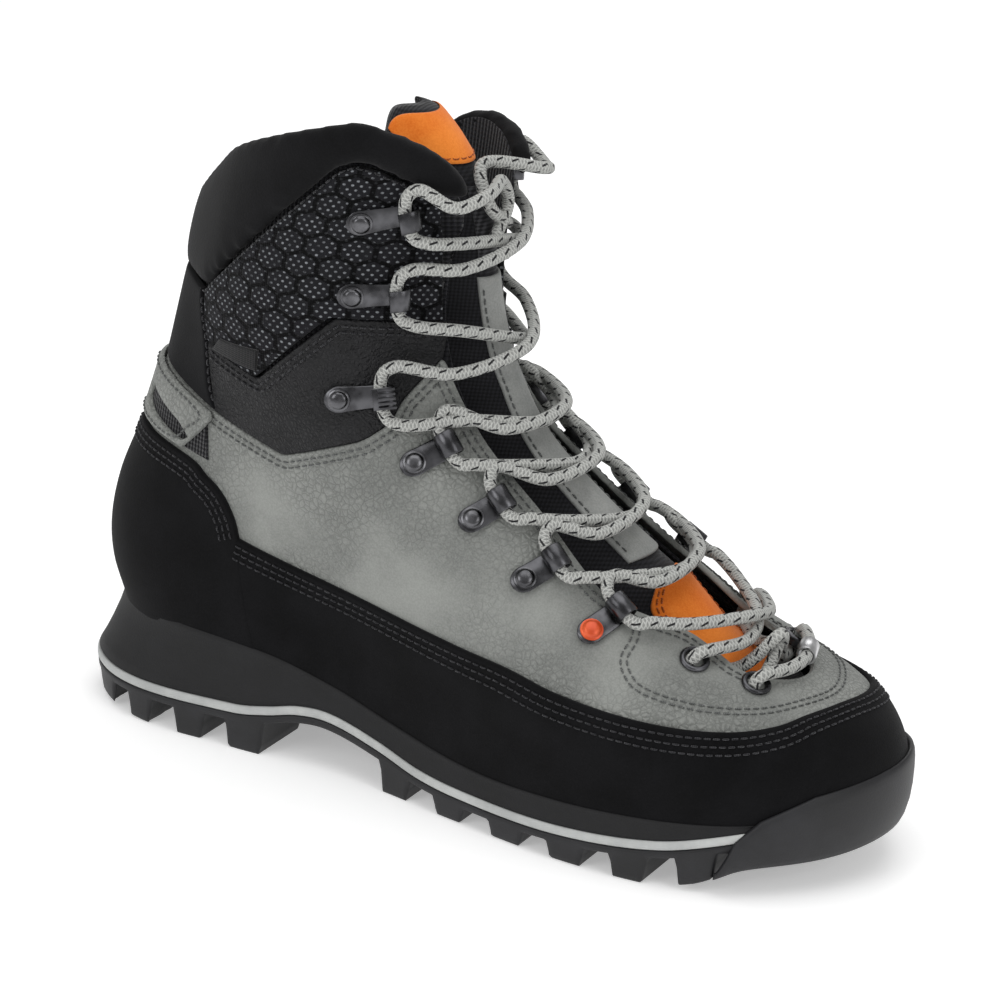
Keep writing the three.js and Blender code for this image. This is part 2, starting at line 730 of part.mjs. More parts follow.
function makeCollar(open) {
  const padded = wall(-liningDepth + fit, collarPadding).subtract(open);
  const band = ({ low, top }) => bandBetween(low, top);
  const lateral = padded.intersect(sideCut(band(collarLines.lateral), -beyond, 0));
  const medial = padded.intersect(sideCut(band(collarLines.medial), -fit, beyond));
  add('collar', lateral.add(medial), 'padding');
}

function makeOverlays() {
  const layer = wall(fit, fit + overlay);
  const capTop = [...heelCapTop, ...heelCapFront];
  const [capEnd] = heelCapFront[heelCapFront.length - 1];
  const cap = [...featherLine(fit, -30, capEnd), ...[...capTop].reverse()];
  add('heel_cap', layer.intersect(sideCut(cap)), 'microfibre');
  const randBack = shiftedX([randTop[0], ...heelCapFront], 2 * gapX);
  const feet = featherLine(fit, capEnd + 2, 310);
  const rand = [...randBack, ...feet, ...randTop.slice(1).reverse()];
  add('rand', layer.intersect(sideCut(rand)), 'microfibre');
  makeHeelStrap();
}

function shiftedX(points, dx) {
  return points.map(([x, z]) => [x + dx, z]);
}

function makeHeelStrap() {
  const band = wall(fit, fit + webbing);
  const strapLayer = wall(2 * fit + webbing, 2 * fit + webbing + strapThickness);
  const capLine = shifted(heelCapTop.slice(0, 2), 2 * fit);
  const underQuarter = shifted(quarterTop.slice(0, 2), -fit).reverse();
  const outlined = sideCut([...capLine, ...strapFront, ...underQuarter]);
  add('heel_strap', strapLayer.intersect(outlined).subtract(sideCut(slot)), 'nubuck');
  const tape = [...capLine, [36, 102.8], [41, 108], [30, 118], [-25, 119]];
  add('heel_webbing', band.intersect(sideCut(tape)), 'textile');
}

const throatRelief = 16; // the bootie stands back from the throat so that the lace passes under the leather
function makeLining() {
  const inner = -liningDepth - lining;
  const floor = boardThickness + 2 * fit;
  const bootie = ({ top }) => [...featherLine(floor), [330, 150], [150, 150], ...shifted(top, -2).reverse()];
  const wide = throat(throatRelief);
  const relief = wide.intersect(sideCut([[206, -60], [206, 300], [330, 300], [330, -60]]));
  const shell = wall(inner, -liningDepth).subtract(throat(1)).subtract(relief);
  const lateral = shell.intersect(sideCut(bootie(collarLines.lateral), -beyond, 0));
  const medial = shell.intersect(sideCut(bootie(collarLines.medial), -fit, beyond));
  add('bootie_lining', lateral.add(medial), 'liner');
  const gapLayer = wall(-leather - fit - stiffener, -leather - fit);
  const counter = [...featherLine(floor, -30, 72), [66, 90], [40, 104], [-25, 112]];
  add('heel_counter', gapLayer.intersect(sideCut(counter)), 'board');
  const puff = [...featherLine(floor, 235), [330, 150], [262, 70], [248, 50]];
  add('toe_puff', gapLayer.subtract(wide).intersect(sideCut(puff)), 'board');
  add('footbed', slab([
    [inner - 1.4, raised(feather, floor)],
    [inner - 2.6, raised(feather, floor + footbedThickness)],
  ]), 'foam');
}

// ---------------------------------------------------------------- tongue
const tongueSink = 7.4; // outside face of the tongue's edges below the leather face
// Half angle of the throat at some rings.
const throatRings = [4, 4.4, 5.2, 5.7, 7, 8.5, 10, 12];
const throatHalf = [0.15, 0.29, 0.34, 0.58, 0.57, 0.68, 0.7, 0.62];
const crownRings = [4.9, 5.9]; // the crown rises between these, from the throat's front end upwards
const crownDepth = 1.4; // top of the crown below the leather face
const frontDrop = 2.4; // the front end lies deeper, under the strands of the eyelets
const leanRings = [8.6, 9.3, 9.9, 10.2, 10.5, 10.8, 11.05];
const lean = [0, 3, 7, 10.5, 17, 29, 43]; // how far the tongue's top leans back into the shaft

function crown(angle, v) {
  const share = Math.min(Math.abs(angle) / smooth(throatRings, throatHalf, v), 1);
  const rise = smooth(crownRings, [0, tongueSink - crownDepth], v);
  const drop = smooth(crownRings, [frontDrop, 0], v);
  return rise * Math.cos((share * Math.PI) / 2) ** 2 - tongueSink - drop;
}

function leanBack(point, v, weight) {
  const back = smooth(leanRings, lean, v) * weight;
  point.x -= back;
  point.z += back * 0.18;
  return point;
}

function tonguePoint(angle, v, height) {
  return leanBack(above(angle, v, crown(angle, v) + height), v, 1);
}

// Closed slab over a patch of the tongue: edge(v) gives its half angle, or [from, to].
function tonguePatch(rings, columns, edge, low, high) {
  const downwards = [...rings].reverse();
  const grid = (height) => downwards.map((v) => {
    const limit = edge(v);
    const [from, to] = Array.isArray(limit) ? limit : [-limit, limit];
    const angles = Array.from({ length: columns + 1 }, (_, i) => lerp(from, to, i / columns));
    return angles.map((angle) => tonguePoint(angle, v, height));
  });
  const top = grid(high);
  const under = grid(low).map((row) => row.reverse());
  return stackedLoops(top.map((row, j) => [...row, ...under[j]]), false, true);
}

function ringsFrom(low, high, count) {
  return Array.from({ length: count + 1 }, (_, j) => lerp(low, high, j / count));
}

function makeTongue() {
  const width = (v) => smooth([4, 5, 6, 9.8, 11.05], [0.62, 0.85, 0.98, 0.98, 0.8], v);
  add('tongue', tonguePatch(ringsFrom(4.05, 11.0, 18), 14, width, -tongueThickness, 0), 'textile');
  const trim = (name, rings, columns, edge, look) => {
    add(name, tonguePatch(rings, columns, edge, trimLift, trimLift + trimThickness), look);
  };
  trim('tongue_strip', ringsFrom(6.6, 9.7, 9), 3, () => [-0.27, 0.24], 'nubuck');
  trim('tongue_top', ringsFrom(10.7, 10.98, 3), 6, () => 0.6, 'orange');
  const patchHalf = (v) => smooth([4.7, 5.7, 6.05], [0.33, 0.36, 0.1], v);
  trim('instep_patch', ringsFrom(4.75, 6.05, 8), 6, patchHalf, 'orange');
  bothSides((side) => {
    const sign = side === 'lateral' ? 1 : -1;
    const span = (v) => [width(v) + 0.02, width(v) + 0.2].map((a) => a * sign).sort((a, b) => a - b);
    const solid = tonguePatch(ringsFrom(5.2, 9.7, 8), 2, span, -1.2, 0);
    add(`gusset_${side}`, solid, 'textile');
  });
}

// ---------------------------------------------------------------- lace
const strandLow = 4.4; // lace centre above the tongue's crown line, at a crossing
const strandHigh = strandLow + laceDiameter + 0.5;
const underLeather = -leather - fit - laceDiameter / 2 - 0.1;

class Route extends THREE.Curve {
  constructor(points) {
    super();
    this.spline = new THREE.CatmullRomCurve3(points, false, 'centripetal');
  }

  getPoint(t, target) {
    return this.spline.getPoint(t, target);
  }

  getUtoTmapping(u) {
    return u; // steps follow the route's points, closer together in the bends
  }
}

// Points of a strand over the tongue between two places [angle, v, height], by way of a height at its middle.
function strand(from, to, level) {
  return [0.2, 0.5, 0.8].map((s) => {
    const k = Math.abs(1 - 2 * s);
    const end = s < 0.5 ? from[2] : to[2];
    const height = lerp(level, end, Math.sin((k * Math.PI) / 2) ** 2);
    const v = lerp(from[1], to[1], s);
    return leanBack(above(lerp(from[0], to[0], s), v, height), v, (1 - k * k) ** 2.5);
  });
}

const mouthShift = [0.25, 0]; // rings by which the strand of each eyelet leaves towards the instep
const exitReach = 3.2; // straight run past the mouth of a ring or hook
const turnReach = 6.2; // then the lace turns in over the throat
const turnIn = 4.6;
function through(frame, length) {
  const middle = frame.origin.clone().addScaledVector(frame.n, laceHeight(frame));
  const point = (reach, inward) => {
    return middle.clone().addScaledVector(frame.up, reach).addScaledVector(frame.out, -inward);
  };
  const exit = length / 2 + exitReach;
  const turn = length / 2 + turnReach;
  return {
    upwards: [point(-turn, turnIn), point(-exit, 0), point(exit, 0), point(turn, turnIn)],
    place: (rise) => [frame.angle, frame.v + rise, laceHeight(frame)],
  };
}

function laceRoute() {
  const gate = {};
  for (const f of sites.rings) gate[`${f.side < 0 ? 'L' : 'M'}${f.i + 1}`] = through(f, ringLength);
  for (const f of sites.hooks) gate[`${f.side < 0 ? 'L' : 'M'}${f.i + 5}`] = through(f, hookLength);
  const points = [];
  const rise = 0.22;
  // Passes a gate upwards or downwards.
  const pass = (name, upwards) => {
    const way = gate[name].upwards;
    points.push(...(upwards ? way : [...way].reverse()));
  };
  const cross = (from, fromRise, to, toRise, level) => {
    points.push(...strand(gate[from].place(fromRise * rise), gate[to].place(toRise * rise), level));
  };
  knotEnd(points, -1);
  descend(pass, cross);
  eyeletRun(points, gate, rise);
  ascend(pass, cross);
  knotEnd(points, 1);
  return points;
}

// From the lateral top hook down to the first lateral ring; these strands lie underneath.
function descend(pass, cross) {
  const order = ['L7', 'M6', 'L5', 'M4', 'L3', 'M2', 'L1'];
  order.forEach((name, i) => {
    pass(name, false);
    if (i + 1 < order.length) cross(name, -1, order[i + 1], 1, i % 2 ? strandHigh : strandLow);
  });
}

function ascend(pass, cross) {
  const order = ['M1', 'L2', 'M3', 'L4', 'M5', 'L6', 'M7'];
  order.forEach((name, i) => {
    pass(name, true);
    if (i + 1 < order.length) cross(name, 1, order[i + 1], -1, i % 2 ? strandHigh : strandLow);
  });
}

// The half knot over the tongue: each end crosses the middle and tucks under the other.
function knotEnd(points, side) {
  const places = side < 0
    ? [[0.16, 10.12, 3.2], [-0.14, 10.4, 4.6], [-0.02, 10.6, strandHigh], [0.45, 10.7, 8.9],
      [0.78, 10.68, 8.9]]
    : [[-0.78, 10.68, 8.9], [-0.45, 10.7, 8.9], [0.02, 10.68, strandLow], [0.14, 10.42, 3.8],
      [-0.16, 10.2, 3.2]];
  const weight = (angle) => Math.max(1 - (angle / 0.6) ** 2, 0) ** 1.5;
  points.push(...places.map(([angle, v, height]) => leanBack(above(angle, v, height), v, weight(angle))));
}

// Through the four eyelets: the bar at the front, and the strands that come up from under the leather.
function eyeletRun(points, gate, rise) {
  const [l1, l2, m1, m2] = sites.eyelets;
  const over = frontBarEnd;
  const bore = (e, downwards) => {
    const walk = [e.lift + 2.6, underLeather - 0.4];
    const mouth = above(...under(e));
    const axis = walk.map((height) => e.origin.clone().addScaledVector(e.n, height));
    points.push(...(downwards ? [...axis, mouth] : [mouth, ...axis.reverse()]));
  };
  points.push(...strand(gate.L1.place(-rise), over(m2), strandHigh));
  bore(m2, true);
  points.push(...strand(under(m2), under(l1), strandLow));
  bore(l1, false);
  points.push(...strand(over(l1), over(m1), strandLow));
  bore(m1, true);
  points.push(...strand(under(m1), under(l2), strandHigh));
  bore(l2, false);
  points.push(...strand(over(l2), gate.M1.place(-rise), strandLow));
}

// Where the strand under an eyelet comes out from beneath the leather, [angle, v, height].
const mouthAngle = { lateral: [0.22, 0.24], medial: [-0.13, -0.17] };
function under({ side, i, v }) {
  const angle = side < 0 ? mouthAngle.lateral[i] : mouthAngle.medial[i];
  return [angle, v + mouthShift[i], underLeather];
}

// The strand's end over an eyelet, [angle, v, height].
function frontBarEnd(eyelet) {
  return [eyelet.angle * 0.78, eyelet.v, eyelet.lift + 4];
}

const laceSides = 8;
function makeLace() {
  const points = laceRoute();
  const section = new THREE.Shape(Array.from({ length: laceSides }, (_, i) => {
    const turn = (2 * Math.PI * i) / laceSides;
    return new THREE.Vector2(Math.cos(turn), Math.sin(turn)).multiplyScalar(laceDiameter / 2);
  }));
  const geometry = new THREE.ExtrudeGeometry(section, {
    steps: points.length - 1, extrudePath: new Route(points), bevelEnabled: false,
  });
  add('lace', toSolid(geometry), 'lace');
}

// The tag is a sleeve on the front bar, between its middle and the medial eyelet.
function makeTag() {
  const [l1, , m1] = sites.eyelets;
  const bar = strand(frontBarEnd(l1), frontBarEnd(m1), strandLow);
  const axis = bar[2].clone().sub(bar[1]).normalize();
  const middle = bar[1].clone().add(bar[2]).multiplyScalar(0.5);
  const sleeve = new THREE.Shape();
  const inner = laceDiameter / 2 + laceClearance + fit;
  sleeve.absarc(0, 0, inner + tagWall, 0, 2 * Math.PI);
  sleeve.holes.push(new THREE.Path().absarc(0, 0, inner, 0, 2 * Math.PI, true));
  const side = axis.clone().cross(m1.n).normalize();
  const tag = place(profileSolid(sleeve, tagLength), middle, side.clone().cross(axis), side, axis);
  add('lace_tag', tag, 'silver');
}

// The row's origin: the middle of the footprint, on the ground.
function moveToOrigin() {
  const box = new THREE.Box3().setFromObject(group);
  const middle = box.getCenter(new THREE.Vector3());
  group.children.forEach((mesh) => mesh.geometry.translate(-middle.x, -middle.y, -box.min.z));
}

makeSole();
layOutSites();
makeUpper();
makeHardware();
makeTongue();
makeLace();
makeTag();
moveToOrigin();

export default group;
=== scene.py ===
# %% [markdown]
# A hiking boot, dressed in looks around its imported frame.
#
# The frame holds the real shapes in faceted form, with their bodies and joints. Here each visible
# piece gets its smooth shape, its stitching and its finish. Nearly every piece lies on one surface,
# the lasted form of the foot, so that surface is written once, as a function of two parameters, and
# each piece of leather is a patch of it between seam curves.

# %% Frame
import json
import math
import bmesh
import bpy
import numpy as np
from mathutils import Matrix, Vector

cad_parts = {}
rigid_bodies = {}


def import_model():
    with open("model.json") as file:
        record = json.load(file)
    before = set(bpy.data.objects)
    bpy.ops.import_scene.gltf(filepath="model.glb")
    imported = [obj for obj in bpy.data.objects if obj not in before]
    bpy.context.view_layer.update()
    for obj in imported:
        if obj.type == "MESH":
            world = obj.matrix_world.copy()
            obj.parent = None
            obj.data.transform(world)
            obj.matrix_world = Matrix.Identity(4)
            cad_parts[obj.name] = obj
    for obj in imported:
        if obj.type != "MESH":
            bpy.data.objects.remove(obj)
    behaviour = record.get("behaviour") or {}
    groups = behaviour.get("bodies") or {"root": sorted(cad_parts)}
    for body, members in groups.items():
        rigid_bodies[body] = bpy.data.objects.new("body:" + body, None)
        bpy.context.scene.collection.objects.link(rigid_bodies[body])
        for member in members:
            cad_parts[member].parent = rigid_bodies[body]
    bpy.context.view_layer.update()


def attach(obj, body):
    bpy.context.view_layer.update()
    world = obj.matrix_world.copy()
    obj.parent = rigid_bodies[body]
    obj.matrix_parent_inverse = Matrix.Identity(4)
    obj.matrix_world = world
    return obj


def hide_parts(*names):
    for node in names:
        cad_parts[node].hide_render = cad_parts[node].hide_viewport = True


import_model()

# %% [markdown]
# The camera comes first, because the scene is framed by it. It is a long lens looking a little down
# on the lateral side, rolled by a few degrees. Its three axes are worked out from the three angles.

# %% Camera
SHIFT = np.array([-145.6215, -2.5640, 0.0])  # drawing frame to row frame, mm
AZIMUTH, ELEVATION, ROLL = 0.46106168, 0.36649495, 0.07456917
EYE = np.array([786.905, -1292.083, 655.628])  # mm, drawing frame
LENS = 160.93


def camera_axes(azimuth, elevation, roll):
    """Right, up and back of the camera: back points from the boot to the eye, right is level before the
    roll, and the roll turns right and up."""
    back = np.array([math.sin(azimuth) * math.cos(elevation), -math.cos(azimuth) * math.cos(elevation),
                     math.sin(elevation)])
    right = np.array([math.cos(azimuth), math.sin(azimuth), 0.0])
    up = np.cross(back, right)
    c, s = math.cos(roll), math.sin(roll)
    return c * right + s * up, -s * right + c * up, back


camera_data = bpy.data.cameras.new("camera")
camera_data.lens = LENS
camera_data.sensor_width = 36
camera_data.clip_end = 20
camera = bpy.data.objects.new("camera", camera_data)
bpy.context.scene.collection.objects.link(camera)
axes = camera_axes(AZIMUTH, ELEVATION, ROLL)
turned_to_boot = Matrix([list(row) for row in zip(*axes)]).to_4x4()
camera.matrix_world = Matrix.Translation(Vector((EYE + SHIFT) / 1000)) @ turned_to_boot
bpy.context.scene.camera = camera
print("camera at", [round(x, 3) for x in camera.location])

# %% [markdown]
# A product is shown on a plain pale floor in soft light. Large area lamps give broad highlights on
# the satin toe and the metal, and a pale world fills the shadows.

# %% Floor and lights
WHITE_FLOOR = 0.93


def area_light(name, place, target, size, power):
    """A square lamp at a place, turned so that it shines at a target."""
    data = bpy.data.lights.new(name, "AREA")
    data.energy = power
    data.size = size
    lamp = bpy.data.objects.new(name, data)
    bpy.context.scene.collection.objects.link(lamp)
    lamp.location = place
    lamp.rotation_euler = (Vector(target) - Vector(place)).to_track_quat("-Z", "Y").to_euler()
    return lamp


area_light("overhead", (0.05, -0.1, 1.15), (0, 0, 0.08), 1.1, 5.8)
area_light("front_left", (-0.55, -1.25, 0.75), (0, 0, 0.1), 0.7, 4.5)
area_light("toe_side", (1.2, -0.45, 0.7), (0.05, 0, 0.08), 0.6, 3.0)
area_light("behind", (-0.3, 1.1, 0.9), (0, 0, 0.12), 0.7, 3.0)
world = bpy.data.worlds.new("studio")
world.use_nodes = True
world.node_tree.nodes["Background"].inputs["Color"].default_value = (1, 1, 1, 1)
world.node_tree.nodes["Background"].inputs["Strength"].default_value = 0.44
bpy.context.scene.world = world
bpy.context.scene.view_settings.view_transform = "Standard"


def floor_mesh():
    """A flat square, cut in a few strips."""
    half = 4.0
    line = np.linspace(-half, half, 9)
    x, y = np.meshgrid(line, line, indexing="ij")
    points = np.stack([x, y, np.zeros_like(x)], -1).reshape(-1, 3)
    n = len(line)
    faces = [(i * n + j, (i + 1) * n + j, (i + 1) * n + j + 1, i * n + j + 1) for i in range(n - 1)
             for j in range(n - 1)]
    mesh = bpy.data.meshes.new("floor")
    mesh.from_pydata(points.tolist(), [], faces)
    return mesh


floor = bpy.data.objects.new("floor", floor_mesh())
bpy.context.scene.collection.objects.link(floor)
floor_finish = bpy.data.materials.new("pale_floor")
floor_finish.use_nodes = True
floor_shader = floor_finish.node_tree.nodes["Principled BSDF"]
floor_shader.inputs["Base Color"].default_value = (WHITE_FLOOR, WHITE_FLOOR, WHITE_FLOOR, 1)
floor_shader.inputs["Roughness"].default_value = 0.8
floor_shader.inputs["Emission Color"].default_value = (1, 1, 1, 1)
floor_shader.inputs["Emission Strength"].default_value = 0.34
floor.data.materials.append(floor_finish)

# %% [markdown]
# The form of the foot. Rings fan round the ankle: a ring joins a point of the heel line to a point
# of the instep line, and a half width table says how far it bulges to either side. A ring is named
# by v, and a place on it by an angle: 0 on the instep line, pi/2 on the lateral side, pi on the heel
# line, and negative angles on the medial side.

# %% Tables of the form, in millimetres
HEEL = np.array([[7, 22], [2.5, 38], [-3.5, 52], [-5, 66], [-2.5, 82], [3, 98], [8, 114],
                 [12, 130], [15, 146], [18, 163], [24, 187], [31, 214], [33, 226]], float)
INSTEP = np.array([[291, 6], [295, 22], [296, 40], [287, 55], [268, 64], [244, 73.5], [213, 91],
                   [184, 110.5], [160, 131], [146, 157], [144, 190], [151, 228], [158, 256]], float)
SHARES = np.array([0, 0.05, 0.12, 0.22, 0.36, 0.53, 0.69, 0.82, 0.92, 1])
WIDTH_RINGS = np.array([0, 1, 3, 6, 8, 9, 12.0])
WIDTHS = np.array([
    [60, 58, 53, 44, 35.5, 42, 54, 66, 76, 80],
    [60, 58, 53, 44, 35.5, 42, 54, 66, 76, 80],
    [58, 57, 52, 44, 37, 43, 54, 63, 68, 70],
    [42, 42, 41, 41, 41, 42, 44, 47, 49, 49],
    [33, 34, 36, 40, 43, 44, 42, 38, 36, 36],
    [28, 30, 34, 40, 44, 45, 42, 37, 34, 34],
    [27, 30, 35, 41, 44, 44, 42, 38, 36, 36]], float)
SWING_SHARES = np.array([0, 0.3, 0.6, 0.8, 1])
SWING = np.array([0, 0, -1, 3, 11.0])


def hermite(xs, y0, y1, m0, m1, i, x):
    """Cubic between two stations from their values and slopes."""
    h = xs[i + 1] - xs[i]
    s = (x - xs[i]) / h
    r = 1 - s
    return (1 + 2 * s) * r * r * y0 + s * r * r * h * m0 + s * s * (3 - 2 * s) * y1 - s * s * r * h * m1


def smooth(xs, ys, x):
    """Smooth curve through stations: cubic pieces whose slopes are those between the neighbours."""
    xs, ys = np.asarray(xs, float), np.asarray(ys, float)
    x = np.clip(np.asarray(x, float), xs[0], xs[-1])
    last = len(xs) - 1
    i = np.clip(np.searchsorted(xs, x, side="left") - 1, 0, last - 1)
    low, high = np.maximum(np.arange(last + 1) - 1, 0), np.minimum(np.arange(last + 1) + 1, last)
    slope = (ys[high] - ys[low]) / (xs[high] - xs[low])
    return hermite(xs, ys[i], ys[i + 1], slope[i], slope[i + 1], i, x)


def smooth_rows(xs, rows, x):
    """The same between whole rows of values, each point with its own row values."""
    last = len(xs) - 1
    x = np.clip(x, xs[0], xs[-1])
    i = np.clip(np.searchsorted(xs, x, side="left") - 1, 0, last - 1)
    low, high = np.maximum(np.arange(last + 1) - 1, 0), np.minimum(np.arange(last + 1) + 1, last)
    gaps = (xs[high] - xs[low]).reshape((-1,) + (1,) * (rows.ndim - 1))
    slope = (rows[high] - rows[low]) / gaps
    pick = lambda table, k: np.take_along_axis(table, k[None], 0)[0]
    return hermite(xs, pick(rows, i), pick(rows, i + 1), pick(slope, i), pick(slope, i + 1), i, x)


def form(angle, v):
    """Point of the form: its x and z lie on the line from heel point to instep point, at the share
    (1 + cos(angle)) / 2, and its y is the centre line's swing less half width times sin(angle)."""
    angle, v = np.broadcast_arrays(np.asarray(angle, float), np.asarray(v, float))
    share = (1 + np.cos(angle)) / 2
    stations = np.arange(len(HEEL), dtype=float)
    back = [smooth(stations, HEEL[:, k], v) for k in (0, 1)]
    front = [smooth(stations, INSTEP[:, k], v) for k in (0, 1)]
    rows = np.stack([smooth(SHARES, row, share) for row in WIDTHS])
    half = smooth_rows(WIDTH_RINGS, rows, v)
    fade = np.clip(1 - (v - 1) / 7, 0, 1)
    y = smooth(SWING_SHARES, SWING, share) * fade - half * np.sin(angle)
    return np.stack([back[0] + (front[0] - back[0]) * share, y, back[1] + (front[1] - back[1]) * share], -1)


def unit(vectors):
    """Vectors scaled to length one."""
    return vectors / np.maximum(np.linalg.norm(vectors, axis=-1, keepdims=True), 1e-12)


def form_normal(angle, v):
    """Direction away from the form: the cross product of its two surface directions."""
    step = 0.01
    v = np.asarray(v, float)
    around = form(angle + step, v) - form(angle - step, v)
    upward = form(angle, np.minimum(v + step, 12)) - form(angle, np.maximum(v - step, 0))
    return unit(np.cross(upward, around))


def above(angle, v, height):
    """Point at a height over the form."""
    angle, v, height = np.broadcast_arrays(*(np.asarray(q, float) for q in (angle, v, height)))
    return form(angle, v) + form_normal(angle, v) * height[..., None]


print("form at the ball:", form(np.array(math.pi / 2), np.array(1.0)).round(1))

# %% [markdown]
# Seams are drawn in two ways: as (angle, v) places, or as side view points (x, z). A side view point
# lies on one ring at one share, so it is turned into a place by a few Newton steps.

# %% Curves on the form


def spaced(points, n):
    """n points evenly spaced along a polyline, measured on the form in millimetres."""
    points = np.asarray(points, float)
    legs = np.linalg.norm(np.diff(form(points[:, 0], points[:, 1]), axis=0), axis=1)
    walk = np.concatenate([[0], np.cumsum(legs)])
    at = np.linspace(0, walk[-1], n)
    return np.stack([np.interp(at, walk, points[:, k]) for k in (0, 1)], -1)


def rounded(points, n=200):
    """Smooth curve through places: a Catmull-Rom spline, evenly spaced."""
    p = np.asarray(points, float)
    p = np.vstack([2 * p[0] - p[1], p, 2 * p[-1] - p[-2]])
    t = np.linspace(0, 1, 12, endpoint=False)[:, None]
    parts = [0.5 * (2 * p[i] + (p[i + 1] - p[i - 1]) * t
                    + (2 * p[i - 1] - 5 * p[i] + 4 * p[i + 1] - p[i + 2]) * t ** 2
                    + (3 * p[i] - p[i - 1] - 3 * p[i + 1] + p[i + 2]) * t ** 3) for i in range(1,
                        len(p) - 2)]
    return spaced(np.vstack(parts + [p[-2:-1]]), n)


def from_side(points, n=60):
    """Side view polyline (x, z) as places (angle, v) on the lateral half."""
    p = np.asarray(points, float)
    walk = np.concatenate([[0], np.cumsum(np.linalg.norm(np.diff(p, axis=0), axis=1))])
    at = np.linspace(0, walk[-1], n)
    want = np.stack([np.interp(at, walk, p[:, k]) for k in (0, 1)], -1)
    stations = np.arange(len(HEEL), dtype=float)

    def at_share(share, v):
        back = np.stack([smooth(stations, HEEL[:, k], v) for k in (0, 1)], -1)
        front = np.stack([smooth(stations, INSTEP[:, k], v) for k in (0, 1)], -1)
        return back + (front - back) * share[..., None]

    shares, rings = np.meshgrid(np.linspace(0, 1, 41), np.linspace(0, 12, 97), indexing="ij")
    table = at_share(shares, rings)
    near = np.argmin(((want[:, None, None] - table) ** 2).sum(-1).reshape(n, -1), 1)
    share, v = shares.reshape(-1)[near], rings.reshape(-1)[near]
    e = 1e-3
    for _ in range(12):
        miss = want - at_share(share, v)
        ds = (at_share(share + e, v) - at_share(share - e, v)) / (2 * e)
        dv = (at_share(share, v + e) - at_share(share, v - e)) / (2 * e)
        det = ds[:, 0] * dv[:, 1] - ds[:, 1] * dv[:, 0]
        share = np.clip(share + (miss[:, 0] * dv[:, 1] - miss[:, 1] * dv[:, 0]) / det, 0, 1)
        v = np.clip(v + (ds[:, 0] * miss[:, 1] - ds[:, 1] * miss[:, 0]) / det, 0, 12)
    return np.stack([np.arccos(np.clip(2 * share - 1, -1, 1)), v], -1)


def offset(curve, distance):
    """The curve moved sideways along the form, to the left of its run, by millimetres."""
    e = 1e-3
    angle, v = curve[:, 0], curve[:, 1]
    da = (form(angle + e, v) - form(angle - e, v)) / (2 * e)
    dv = (form(angle, v + e) - form(angle, v - e)) / (2 * e)
    run = unit(np.gradient(form(angle, v), axis=0))
    side = np.cross(form_normal(angle, v), run) * np.broadcast_to(distance, len(curve))[:, None]
    aa, av, vv = (da * da).sum(1), (da * dv).sum(1), (dv * dv).sum(1)
    sa, sv = (side * da).sum(1), (side * dv).sum(1)
    det = aa * vv - av * av
    return curve + np.stack([(sa * vv - sv * av) / det, (aa * sv - av * sa) / det], -1)


def mirror(curve):
    """The same curve on the medial side."""
    return curve * np.array([-1.0, 1.0])


print("a side point turned into a place:", from_side([[81, 115], [82, 115]], 2)[0].round(2))

# %% [markdown]
# Finishes. Effects that several materials share are node groups: a fine grain, a leather pebble and a
# weave. A group gives masks and heights only, and each material places them with its
# own scale and strength.

# %% Node helpers


class Nodes:
    """Short calls for building a node tree."""

    def __init__(self, tree):
        self.tree = tree

    def add(self, kind, settings=None, **inputs):
        """A node with its settings, and inputs given as numbers or as sockets."""
        node = self.tree.nodes.new(kind)
        for key, value in (settings or {}).items():
            setattr(node, key, value)
        for key, value in inputs.items():
            name = key.replace("_",
                               " ") if not key.startswith("i") or not key[1:].isdigit() else int(key[1:])
            socket = node.inputs[name]
            if isinstance(value, bpy.types.NodeSocket):
                self.tree.links.new(value, socket)
            else:
                socket.default_value = value
        return node

    def math(self, operation, a, b=0.0, c=0.0, clamp=False):
        """One maths step on one to three values."""
        return self.add("ShaderNodeMath", {"operation": operation, "use_clamp": clamp}, i0=a, i1=b,
                        i2=c).outputs[0]

    def ramp(self, value, low, high):
        """Smooth step of a value from low to high."""
        return self.add("ShaderNodeMapRange", {"interpolation_type": "SMOOTHSTEP"}, Value=value,
                        From_Min=low, From_Max=high).outputs[0]

    def mix(self, share, a, b):
        """Mix of two colours."""
        node = self.add("ShaderNodeMix", {"data_type": "RGBA"}, i0=share, i6=a, i7=b)
        return node.outputs[2]


def new_group(name, inputs, outputs):
    """An empty node group with float inputs (name, default) and named outputs."""
    tree = bpy.data.node_groups.new(name, "ShaderNodeTree")
    for label, default in inputs:
        kind = "NodeSocketVector" if label == "Vector" else "NodeSocketFloat"
        socket = tree.interface.new_socket(name=label, in_out="INPUT", socket_type=kind)
        if label != "Vector":
            socket.default_value = default
    for label in outputs:
        tree.interface.new_socket(name=label, in_out="OUTPUT", socket_type="NodeSocketFloat")
    entry = tree.nodes.new("NodeGroupInput")
    way_out = tree.nodes.new("NodeGroupOutput")
    return Nodes(tree), entry, way_out


def make_grain():
    """Height and mottle of a napped or moulded surface: fine noise over coarse noise."""
    n, entry, way_out = new_group("grain", [("Vector", 0), ("Scale", 900.0)], ["Height", "Mottle"])
    fine = n.add("ShaderNodeTexNoise", {}, Vector=entry.outputs["Vector"], Scale=entry.outputs["Scale"],
                 Detail=3.0, Roughness=0.6)
    wide = n.math("MULTIPLY", entry.outputs["Scale"], 0.035)
    coarse = n.add("ShaderNodeTexNoise", {}, Vector=entry.outputs["Vector"], Scale=wide, Detail=4.0,
                   Roughness=0.6)
    n.tree.links.new(fine.outputs[0], way_out.inputs["Height"])
    n.tree.links.new(coarse.outputs[0], way_out.inputs["Mottle"])
    return n.tree


